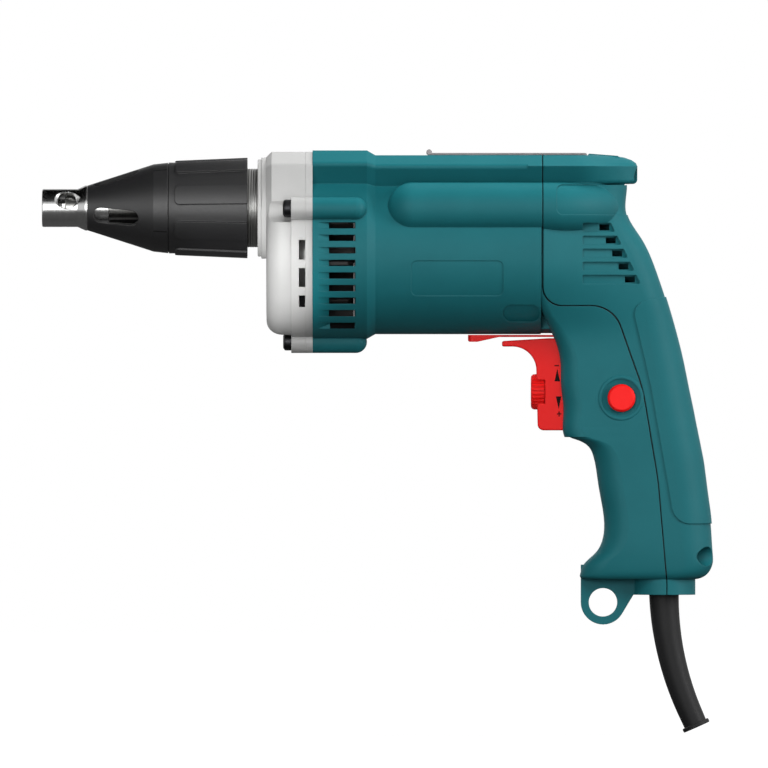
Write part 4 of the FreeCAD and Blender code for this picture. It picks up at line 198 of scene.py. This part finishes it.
# Glass-filled nylon, moulded in an etched tool: a satin blue-green that pales on rubbed rims.
teal_nylon = moulded("teal_nylon", "#14636a", "#105b62", "#4c8f96",
                     grain=0.9, roughness=0.62, relief=0.03, specular=0.24, wear=0.15)
# Acetal, moulded and matt: near black, with a broad soft shine.
black_acetal = moulded("black_acetal", "#161617", "#101011", "#3a3a3a",
                       grain=1.0, roughness=0.50, specular=0.75, wear=0.2)
# ABS, moulded smooth in red: bright, with a tight shine.
red_abs = moulded("red_abs", "#f31412", "#ec1110", "#f4514c",
                  grain=1.2, roughness=0.46, relief=0.01, specular=0.2, wear=0.2)
# Soft PVC of the cord guard: black and dull.
black_pvc = moulded("black_pvc", "#1a1a1b", "#141415", "#333333", grain=0.8, roughness=0.58, specular=0.25)
# Phenolic and nylon mouldings inside the housing: dark and matt.
dark_phenolic = moulded("dark_phenolic", "#2d2b2a", "#252322", "#4a4745", grain=1.1, roughness=0.55)
# Pressed carbon of the brushes: dull and sooty.
pressed_carbon = moulded("pressed_carbon", "#2c2c2d", "#202021", "#48484a", grain=0.8, roughness=0.62)
# Printing ink on the trigger: a flat brown black.
dark_ink = moulded("dark_ink", "#160706", "#100504", "#200a08",
                   grain=0.8, roughness=0.6, relief=0.005, specular=0.1)
# Wool felt, pressed and dyed black: it gives back almost no light. It is also the painted shade on the floors of the
# shallow air slots.
black_felt_and_painted_shade = moulded("black_felt_and_painted_shade", "#0d0d0e", "#080809", "#121213",
                     grain=0.9, roughness=0.85, relief=0.06, specular=0.05)
# Ink in the cone's index lines: a flat black.
black_ink = moulded("black_ink", "#0c0c0c", "#080808", "#141414",
                    grain=0.8, roughness=0.6, relief=0.005, specular=0.2)
# Steel, turned, hardened and polished: a mirror with faint rings.
polished_steel = turned("polished_steel", "#c9c9c8", "#bababa", pitch=0.5, roughness=0.24)
# Steel, turned and left bright: grey with clear rings.
bright_steel = turned("bright_steel", "#b4b4b1", "#989895", pitch=0.6, roughness=0.34)
# Bearing steel, ground: pale and even.
ground_steel = turned("ground_steel", "#c6c7c5", "#b5b6b4", pitch=0.4, roughness=0.24)
# Steel of the neck, threaded and oiled: mid grey.
oiled_steel = turned("oiled_steel", "#a2a2a0", "#868684", pitch=0.7, roughness=0.38)
# Die-cast aluminium under a matt silver enamel: an even pale grey with a soft sheen.
silver_enamel = grainy_metal("silver_enamel", "#b5b5b4", "#adadac",
                             grain=0.9, roughness=0.58, relief=0.03, metallic=0.2)
# Steel of the screws under a black oxide skin: near black with a dull gleam.
black_oxide = grainy_metal("black_oxide", "#3a3a3c", "#2a2a2c", grain=0.9, roughness=0.40, relief=0.02)
# Spring steel of the belt hook, browned in its hardening: a warm mid grey.
spring_steel = grainy_metal("spring_steel", "#767273", "#656162", grain=0.9, roughness=0.42, relief=0.02)
# Bronze, pressed and sintered: brown and porous.
sintered_bronze = grainy_metal("sintered_bronze", "#b28449", "#94683a", grain=0.8, roughness=0.48, relief=0.04)
# Copper wire under amber enamel: a warm red brown that glints.
enamelled_copper = grainy_metal("enamelled_copper", "#b8683a", "#96502c",
                                grain=0.7, roughness=0.36, relief=0.08)
# Brass, drawn and plain: yellow with a soft gleam.
drawn_brass = grainy_metal("drawn_brass", "#c8a44f", "#b08b3e", grain=0.9, roughness=0.32, relief=0.02)

finishes = {
    polished_steel: ["locator_tip"],
    black_acetal: ["locator_cone", "adjusting_ring"],
    oiled_steel: ["neck_sleeve"],
    silver_enamel: ["gear_housing", "gear_housing_cover"],
    teal_nylon: ["motor_housing", "handle_cover"],
    red_abs: ["trigger", "speed_dial", "reverse_lever", "lock_button"],
    black_pvc: ["cord_guard", "spindle_seal", "bearing_sleeve"],
    black_oxide: ["gear_housing_screws", "handle_screws", "clamp_screws"],
    spring_steel: ["belt_hook"],
    bright_steel: ["click_ring", "spindle", "bit_holder", "driver_bit", "thrust_washer", "clutch_spring",
                   "drive_gear", "gear_washer", "trigger_spring", "lock_spring", "armature_shaft",
                   "armature_core", "field_core", "brush_springs"],
    ground_steel: ["bit_magnet", "front_bearing", "rear_bearing"],
    sintered_bronze: ["spindle_bush", "pilot_bush"],
    enamelled_copper: ["armature_windings", "commutator", "field_coils"],
    drawn_brass: ["brush_holders"],
    pressed_carbon: ["carbon_brushes"],
    dark_phenolic: ["capacitor", "cord_clamp", "switch_unit", "fan", "baffle_ring"],
}
for finish, nodes in finishes.items():
    for node in nodes:
        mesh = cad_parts[node].data
        mesh.materials.clear()
        mesh.materials.append(finish)


# Small fittings. Their sizes and places are in millimetres.


def piece(name, mesh, finish, body):
    """A new piece of the object in its finish, riding on a body of the frame."""
    made = bpy.data.objects.new(name, mesh)
    bpy.context.scene.collection.objects.link(made)
    mesh.materials.append(finish)
    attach(made, body)
    return made


def finished_mesh(name, build, crease=None):
    """A mesh from a build, its faces turned outward, and smooth where it turns by less than the crease in degrees."""
    bmesh.ops.recalc_face_normals(build, faces=build.faces)
    mesh = bpy.data.meshes.new(name)
    build.to_mesh(mesh)
    build.free()
    if crease:
        mesh.shade_smooth()
        mesh.set_sharp_from_angle(angle=math.radians(crease))
    return mesh


def band(build, row, following):
    """Faces between two closed rows of as many points."""
    for i in range(len(row)):
        k = (i + 1) % len(row)
        build.faces.new((row[i], row[k], following[k], following[i]))


def swept_mesh(name, sections, closed=False, crease=40):
    """A skin over a row of sections with the same number of points; open rows get end faces."""
    build = bmesh.new()
    rows = [[build.verts.new(Vector(point) * MM) for point in section] for section in sections]
    for row, following in zip(rows, rows[1:]):
        band(build, row, following)
    if closed:
        band(build, rows[-1], rows[0])
    else:
        build.faces.new(rows[0])
        build.faces.new(rows[-1])
    return finished_mesh(name, build, crease)


def round_section(x, radii, height=0.0):
    """Points round a line along X at a height, one for each radius."""
    turns = [FULL_TURN * i / len(radii) for i in range(len(radii))]
    return [(x, r * math.cos(turn), r * math.sin(turn) + height) for r, turn in zip(radii, turns)]


def flat_ring(name, front, back, bore, rim, height):
    """A plain flat ring about a line along X at a height, between these places and radii."""
    around = 96
    corners = ((front, bore), (back, bore), (back, rim), (front, rim))
    return swept_mesh(name, [round_section(x, [r] * around, height) for x, r in corners], closed=True)


def skin_of(node):
    """The surface of a node, to lay other pieces on."""
    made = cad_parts[node]
    return BVHTree.FromPolygons([made.matrix_world @ v.co for v in made.data.vertices],
                                [p.vertices for p in made.data.polygons])


def skin_y(skin, x, z, side):
    """Y of a surface where a ray from one side (-1 or 1) meets it at an X and Z."""
    start = Vector((x * MM, side * BESIDE, z * MM))
    return skin.ray_cast(start, Vector((0, -side, 0)))[0].y / MM


def neck_thread():
    """The thread on the neck behind the ring: a ridge that climbs one pitch a turn, over a thin sleeve."""
    start, end, pitch = 86.4, 90.5, 1.0
    root, ridge, inside = 16.4, 0.14, 0.2
    around, along = 96, 41
    sections = []
    for i in range(along):
        x = start + (end - start) * i / (along - 1)
        shares = [(x / pitch + j / around) % 1 for j in range(around)]
        sections.append(round_section(x, [root + ridge * (1 - abs(2 * share - 1)) for share in shares]))
    for x in (end, start):
        sections.append(round_section(x, [root - inside] * around))
    mesh = swept_mesh("neck_thread", sections, closed=True, crease=50)
    return piece("neck_thread", mesh, oiled_steel, "housing")


def flat_prints(name, outlines, side, thickness):
    """Closed flat outlines in X and Z as prints of a thickness on a face at Y = side."""
    build = bmesh.new()
    for outline in outlines:
        face = build.faces.new([build.verts.new((x * MM, side * MM, z * MM)) for x, z in outline])
        lifted = bmesh.ops.extrude_face_region(build, geom=[face])
        verts = [v for v in lifted["geom"] if isinstance(v, bmesh.types.BMVert)]
        bmesh.ops.translate(build, verts=verts, vec=(0, math.copysign(thickness, side) * MM, 0))
    return finished_mesh(name, build)


def trigger_marks():
    """Slower and faster beside the dial: minus, an arrow each way, and plus."""
    thickness = 0.05
    minus = [(215.208, -66.003), (217.14, -66.003), (217.14, -66.465), (215.208, -66.465)]
    slower = [(215.208, -72.786), (216.384, -67.536), (217.56, -72.786)]
    faster = [(215.796, -79.128), (216.972, -84.42), (218.064, -79.128)]
    left, inner_left, inner_right, right = 216.216, 216.93, 217.35, 218.106
    bottom, inner_bottom, inner_top, top = -87.612, -86.73, -86.268, -85.428
    plus = [(inner_left, top), (inner_right, top), (inner_right, inner_top), (right, inner_top),
            (right, inner_bottom), (inner_right, inner_bottom), (inner_right, bottom), (inner_left, bottom),
            (inner_left, inner_bottom), (left, inner_bottom), (left, inner_top), (inner_left, inner_top)]
    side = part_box("trigger")[0].y / MM
    mesh = flat_prints("trigger_marks", [minus, slower, faster, plus], side, thickness)
    return piece("trigger_marks", mesh, dark_ink, "trigger")


def islands(node):
    """The boxes of a node's separate solids, in metres."""
    same_place = 0.002
    build = bmesh.new()
    build.from_mesh(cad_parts[node].data)
    bmesh.ops.remove_doubles(build, verts=build.verts, dist=same_place * MM)
    waiting = set(build.verts)
    found = []
    while waiting:
        group = [waiting.pop()]
        for vert in group:
            for edge in vert.link_edges:
                other = edge.other_vert(vert)
                if other in waiting:
                    waiting.remove(other)
                    group.append(other)
        points = [v.co for v in group]
        found.append([Vector(map(pick, *points)) for pick in (min, max)])
    build.free()
    return found


def cross_head(build, centre, radius, side):
    """Adds the crown of a screw head about X: a domed disc with a cross-shaped well in it."""
    arm, half, depth, crown = radius * 0.62, radius * 0.15, radius * 0.28, radius * 0.30
    shoulder_share, base_share, floor_share = 0.72, 0.35, 0.8
    around = 48
    cross = [(arm, -half), (arm, half), (half, half), (half, arm), (-half, arm), (-half, half),
             (-arm, half), (-arm, -half), (-half, -half), (-half, -arm), (half, -arm), (half, -half)]
    turns = [FULL_TURN * i / around for i in range(around)]
    rim = [(radius * math.cos(turn), radius * math.sin(turn)) for turn in turns]

    def ring(points, share, height):
        return [build.verts.new(centre + Vector((side * height, y * share, z * share))) for y, z in points]

    foot, base, top = ring(rim, 1, 0), ring(rim, 1, crown * base_share), ring(rim, shoulder_share, crown)
    mouth, floor = ring(cross, 1, crown), ring(cross, floor_share, crown - depth)
    for low, high in ((foot, base), (base, top), (mouth, floor)):
        band(build, low, high)
    build.faces.new(foot)
    build.faces.new(floor)
    edges = [build.edges.get((loop[i - 1], loop[i])) for loop in (top, mouth) for i in range(len(loop))]
    bmesh.ops.triangle_fill(build, edges=edges, use_beauty=True)


def screw_crowns(node, side):
    """A crown with a cross recess on the head of every screw in a node whose screws lie along X."""
    sunk, fit = 0.05, 0.98
    build = bmesh.new()
    for low, high in islands(node):
        radius = (high.y - low.y) / 2
        face = high.x if side > 0 else low.x
        centre = Vector((face - side * sunk * MM, (low.y + high.y) / 2, (low.z + high.z) / 2))
        cross_head(build, centre, radius * fit, side)
    name = node + "_crowns"
    return piece(name, finished_mesh(name, build), black_oxide, "housing")


def rounded_path(corners, steps=10):
    """Points along corners (X, Z, radius), with an arc at each corner that has a radius."""
    points = []
    for i, (x, z, radius) in enumerate(corners):
        here = Vector((x, z))
        if not radius:
            points.append(here)
            continue
        back = (Vector(corners[i - 1][:2]) - here).normalized()
        ahead = (Vector(corners[i + 1][:2]) - here).normalized()
        half = back.angle(ahead) / 2
        centre = here + (back + ahead).normalized() * radius / math.sin(half)
        first = here + back * radius / math.tan(half) - centre
        last = here + ahead * radius / math.tan(half) - centre
        for step in range(steps + 1):
            points.append(centre + first.slerp(last, step / steps) * radius)
    return points


def seam_tongue():
    """A tongue between the two housing mouldings: it follows their seam inside and shuts its gap to light."""
    path = rounded_path([(210.12, 18, 0), (210.12, -41.08, 8), (239.81, -41.06, 13.1),
                         (252.22, -76.2, 59.5), (258.52, -113.98, 99.7), (262.2, -154, 0)])
    half, near, far = 0.9, -13, -11
    sections = []
    for i, point in enumerate(path):
        along = (path[min(i + 1, len(path) - 1)] - path[max(i - 1, 0)]).normalized()
        aside = Vector((-along.y, along.x)) * half
        sections.append([(point.x + aside.x * a, y, point.y + aside.y * a)
                         for a, y in ((-1, near), (1, near), (1, far), (-1, far))])
    mesh = swept_mesh("seam_tongue", sections)
    return piece("seam_tongue", mesh, dark_phenolic, "housing")


def seam_gasket():
    """A gasket in the upright seam behind the barrel, just inside the barrel's skin, which shuts it to light."""
    front, back, inset = 209.96, 210.29, 0.12
    middle, reach = Vector((209.4, 0, -8)), 90
    first_turn, last_turn, step = -40, 220, 2
    skin = skin_of("motor_housing")
    rim = []
    for degrees in range(first_turn, last_turn + 1, step):
        turn = math.radians(degrees)
        way = Vector((0, math.cos(turn), math.sin(turn)))
        rim.append(skin.ray_cast((middle + way * reach) * MM, -way)[0] / MM - way * inset)
    mesh = swept_mesh("seam_gasket", [[(x, p.y, p.z) for p in rim] for x in (front, back)])
    return piece("seam_gasket", mesh, black_felt_and_painted_shade, "housing")


def corner_web():
    """The web under the barrel's rear end, where it runs into the handle above the trigger."""
    axis, radius, top, half = -19, 33.6, -43, 11
    front, middle, back = 208.5, 212.5, 216.5
    steps = 16
    ys = [half * (2 * i / steps - 1) for i in range(steps + 1)]
    arch = [(y, axis - math.sqrt(radius ** 2 - y ** 2)) for y in ys] + [(half, top), (-half, top)]
    mesh = swept_mesh("corner_web", [[(x, y, z) for y, z in arch] for x in (front, middle, back)])
    return piece("corner_web", mesh, teal_nylon, "housing")


def cap_web():
    """The web that joins the rear cap's foot to the neck of the handle below it."""
    front, middle, back = 228, 237, 244.6
    half, bottom, top = 7, 8.2, 12
    outline = ((-half, bottom), (half, bottom), (half, top), (-half, top))
    mesh = swept_mesh("cap_web", [[(x, y, z) for y, z in outline] for x in (front, middle, back)])
    return piece("cap_web", mesh, teal_nylon, "housing")


def cone_marks():
    """Fine dark index lines along the rear band of the cone, a quarter turn apart."""
    count, first_turn = 4, 212.3
    front, back = (46.95, 18.37), (52.6, 19.0)
    half, sunk, proud = 0.22, 0.3, 0.03
    build = bmesh.new()
    for i in range(count):
        turn = math.radians(first_turn) + FULL_TURN * i / count
        places = [(x, r, turn + side * half / r)
                  for (x, r), side in ((front, -1), (front, 1), (back, 1), (back, -1))]
        low, high = [[build.verts.new(Vector((x, (r + lift) * math.cos(at), (r + lift) * math.sin(at))) * MM)
                      for x, r, at in places] for lift in (-sunk, proud)]
        build.faces.new(low)
        build.faces.new(high)
        band(build, low, high)
    return piece("cone_marks", finished_mesh("cone_marks", build), black_ink, "locator")


def slot_painted_shade(name, node, front, back, bottom, top):
    """Painted shade: a thin black sheet on the floor of a shallow air slot, on both sides of a node, between these X
    and Z, so that the slot looks deep and dark.
    """
    proud, thickness = 0.05, 0.4
    along, up = 8, 4
    skin = skin_of(node)
    levels = [bottom + (top - bottom) * i / up for i in range(up + 1)]
    for side, ending in ((-1, "_right"), (1, "_left")):
        sections = []
        for i in range(along + 1):
            x = front + (back - front) * i / along
            outer = [(x, skin_y(skin, x, z, side) + side * proud, z) for z in levels]
            sections.append(outer + [(x, y - side * thickness, z) for x, y, z in reversed(outer)])
        piece(name + ending, swept_mesh(name + ending, sections), black_felt_and_painted_shade, "housing")


def button_rim():
    """The rounded rim of the dish round the lock button, laid along the handle's own surface."""
    place, drop, radius = 243.0, -79.8, 8.7
    half, height, sunk, root = 0.85, 0.42, 0.06, 0.7
    around, bends = 72, 8
    skin = skin_of("motor_housing")
    profile = [(half * math.cos(math.pi * j / bends), sunk - height * math.sin(math.pi * j / bends))
               for j in range(bends + 1)] + [(-half, root), (half, root)]
    sections = []
    for i in range(around):
        across, up = math.cos(FULL_TURN * i / around), math.sin(FULL_TURN * i / around)
        face = skin_y(skin, place + radius * across, drop + radius * up, -1)
        sections.append([(place + (radius + out) * across, face + depth, drop + (radius + out) * up)
                         for out, depth in profile])
    mesh = swept_mesh("button_rim", sections, closed=True)
    return piece("button_rim", mesh, teal_nylon, "housing")


def live_spring(node, body):
    """A copy of a spring's mesh as a piece of its own on a body, shown in place of the CAD spring, which is hidden.
    """
    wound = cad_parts[node]
    mesh = wound.data.copy()
    mesh.materials.clear()
    made = piece(node + "_wound", mesh, bright_steel, body)
    made.matrix_world = wound.matrix_world
    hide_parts(node)
    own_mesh(made)
    return made


neck_thread()
trigger_marks()
live_spring("clutch_spring", "drive_gear")
live_spring("trigger_spring", "housing")
live_spring("lock_spring", "housing")
seam_tongue()
seam_gasket()
corner_web()
cap_web()
# A rubber ring on the cone's spigot that fills the gap to the adjusting ring.
cone_seal = flat_ring("cone_seal", front=52.93, back=53.25, bore=16.6, rim=18.5, height=0)
piece("cone_seal", cone_seal, black_pvc, "locator")
# A felt ring on the front of the baffle, which closes the slit behind the fan.
baffle_felt = flat_ring("baffle_felt", front=131.12, back=131.55, bore=20, rim=32.9, height=-19)
piece("baffle_felt", baffle_felt, black_felt_and_painted_shade, "housing")
# A washer between the dial and the trigger.
dial_washer = flat_ring("dial_washer", front=211.03, back=211.27, bore=2.0, rim=5.7, height=-77.2)
piece("dial_washer", dial_washer, red_abs, "trigger")
cone_marks()
# Painted shade: black sheets on the floors of the shallow vent and case slots make them look deep and dark.
slot_painted_shade("vent_painted_shade", "motor_housing", front=121, back=131.4, bottom=-50.7, top=-48.2)
slot_painted_shade("case_painted_shade", "gear_housing", front=108.1, back=110.6, bottom=-41.7, top=-36.9)
button_rim()
screw_crowns("gear_housing_screws", side=-1)
screw_crowns("handle_screws", side=1)


# Stage, light and camera. Their sizes and places are in metres.

MIDDLE = (0.14364, 0, -0.07392)  # The point of the object that the lamps and the camera look at.


def hang(name, lamp, place, aim, glossy):
    """Hangs a lamp, turned towards an aim and never in the picture itself."""
    made = bpy.data.objects.new(name, lamp)
    made.location = place
    made.rotation_euler = (Vector(aim) - Vector(place)).to_track_quat("-Z", "Y").to_euler()
    made.visible_camera = False
    made.visible_glossy = glossy
    bpy.context.scene.collection.objects.link(made)


def soft_box(name, place, size, power, glossy=True):
    """A soft box turned towards the object; one that isn't glossy shows in no reflection."""
    lamp = bpy.data.lights.new(name, "AREA")
    lamp.shape = "RECTANGLE"
    lamp.size, lamp.size_y = size
    lamp.energy = power
    hang(name, lamp, place, MIDDLE, glossy)


def snooted_lamp(name, place, aim, spread, power):
    """A small lamp with a narrow soft-edged beam, its spread in degrees, for one part of the object."""
    soft_edge, lamp_radius = 0.7, 0.01
    lamp = bpy.data.lights.new(name, "SPOT")
    lamp.spot_size = math.radians(spread)
    lamp.spot_blend = soft_edge
    lamp.shadow_soft_size = lamp_radius
    lamp.energy = power
    hang(name, lamp, place, aim, glossy=False)


def level_sheet(name, middle, reach, level, finish):
    """A square sheet of the stage about a middle along X, lying at a height."""
    mesh = bpy.data.meshes.new(name)
    corners = [(middle + reach * i, reach * j, level) for i, j in ((-1, -1), (1, -1), (1, 1), (-1, 1))]
    mesh.from_pydata(corners, [], [(0, 1, 2, 3)])
    mesh.materials.append(finish)
    made = bpy.data.objects.new(name, mesh)
    bpy.context.scene.collection.objects.link(made)
    return made


def shown_white(tree):
    """1 on the rays that show the background: straight from the camera, off a gloss or through glass."""
    path = add(tree, "ShaderNodeLightPath")
    direct = add(tree, "ShaderNodeMath", {0: (path, "Is Camera Ray"), 1: (path, "Is Glossy Ray")},
                 operation="MAXIMUM")
    return add(tree, "ShaderNodeMath", {0: (direct, "Value"), 1: (path, "Is Transmission Ray")},
               operation="MAXIMUM")


def white_paper():
    """The sweep under the object: as white as the background, with a faint shadow close to the object."""
    shadow_start, shadow_end, shadow_white, brightness = 0.35, 0.8, 0.8, 1.1
    material, tree = empty_material("white_paper")
    place = add(tree, "ShaderNodeTexCoord")
    away = add(tree, "ShaderNodeVectorMath", {0: (place, "Object")}, operation="LENGTH")
    glow = add(tree, "ShaderNodeMapRange", {"Value": (away, "Value"), "From Min": shadow_start,
                                            "From Max": shadow_end, "To Min": shadow_white, "To Max": 1.0})
    share = add(tree, "ShaderNodeMath", {0: (shown_white(tree), "Value"), 1: (glow, "Result")},
                operation="MULTIPLY")
    matt = add(tree, "ShaderNodeBsdfDiffuse", {"Color": linear("#d8d8d8")})
    white = add(tree, "ShaderNodeEmission", {"Color": linear("#ffffff"), "Strength": brightness})
    mixed = add(tree, "ShaderNodeMixShader", {0: (share, "Value"), 1: (matt, "BSDF"), 2: (white, "Emission")})
    add(tree, "ShaderNodeOutputMaterial", {"Surface": (mixed, "Shader")})
    return material


def cloth(name, colour):
    """Plain matt cloth, kept out of the picture, that holds the white back from some reflections."""
    material, tree = empty_material(name)
    matt = add(tree, "ShaderNodeBsdfDiffuse", {"Color": linear(colour)})
    add(tree, "ShaderNodeOutputMaterial", {"Surface": (matt, "BSDF")})
    return material


def studio_world():
    """Plain white behind the object and in its reflections, and a dim even light from all round."""
    even_light = 0.05
    world = bpy.data.worlds.new("studio")
    bpy.context.scene.world = world
    world.use_nodes = True
    tree = world.node_tree
    tree.nodes.clear()
    level = add(tree, "ShaderNodeMapRange", {"Value": (shown_white(tree), "Value"), "To Min": even_light,
                                             "To Max": 1.0})
    back = add(tree, "ShaderNodeBackground", {"Color": linear("#ffffff"), "Strength": (level, "Result")})
    add(tree, "ShaderNodeOutputWorld", {"Surface": (back, "Background")})


floor_gap, cloth_lift = 0.3 * MM, 0.1 * MM
floor_level = cad_box[0].z - floor_gap
level_sheet("floor", middle=0, reach=4.0, level=floor_level, finish=white_paper())
# Grey cloth on the floor darkens the underside, and a black flag over the nose darkens the top of the steel tip.
grey_cloth = level_sheet("grey_cloth", middle=0, reach=0.9, level=floor_level + cloth_lift,
                         finish=cloth("grey_cloth", "#4c4c4c"))
black_flag = level_sheet("black_flag", middle=-0.21, reach=0.3, level=0.2, finish=cloth("black_cloth", "#101010"))
for held_back in (grey_cloth, black_flag):
    held_back.visible_camera = False
    held_back.visible_shadow = False
black_flag.visible_diffuse = False
studio_world()
soft_box("front", (-0.25, -1.85, 0.12), size=(0.9, 0.8), power=16)
soft_box("upper", (0.15, -1.5, 1.25), size=(1.0, 0.8), power=17, glossy=False)
soft_box("overhead", (0.2, 0.3, 1.2), size=(1.2, 0.6), power=19, glossy=False)
soft_box("right", (1.55, -0.7, 0.35), size=(0.5, 0.9), power=16)
# A beam from just above the floor lifts the lower half of the pale casting.
snooted_lamp("casting_fill", (0.07, -0.36, -0.205), aim=(0.089, -0.03, -0.032), spread=10, power=7)
soft_box("behind", (-0.2, 1.9, 0.4), size=(1.0, 0.8), power=22, glossy=False)

# A long lens square to the tool's side; the picture's width is this span at the tool's middle plane.
span = 0.32256
distance = 10.0
camera_data = bpy.data.cameras.new("camera")
camera_data.sensor_width = 36.0
camera_data.lens = camera_data.sensor_width * distance / span
camera = bpy.data.objects.new("camera", camera_data)
camera.location = (MIDDLE[0], -distance, MIDDLE[2])
camera.rotation_euler = (math.radians(90), 0, 0)
bpy.context.scene.collection.objects.link(camera)
bpy.context.scene.camera = camera
bpy.context.scene.view_settings.view_transform = "Standard"
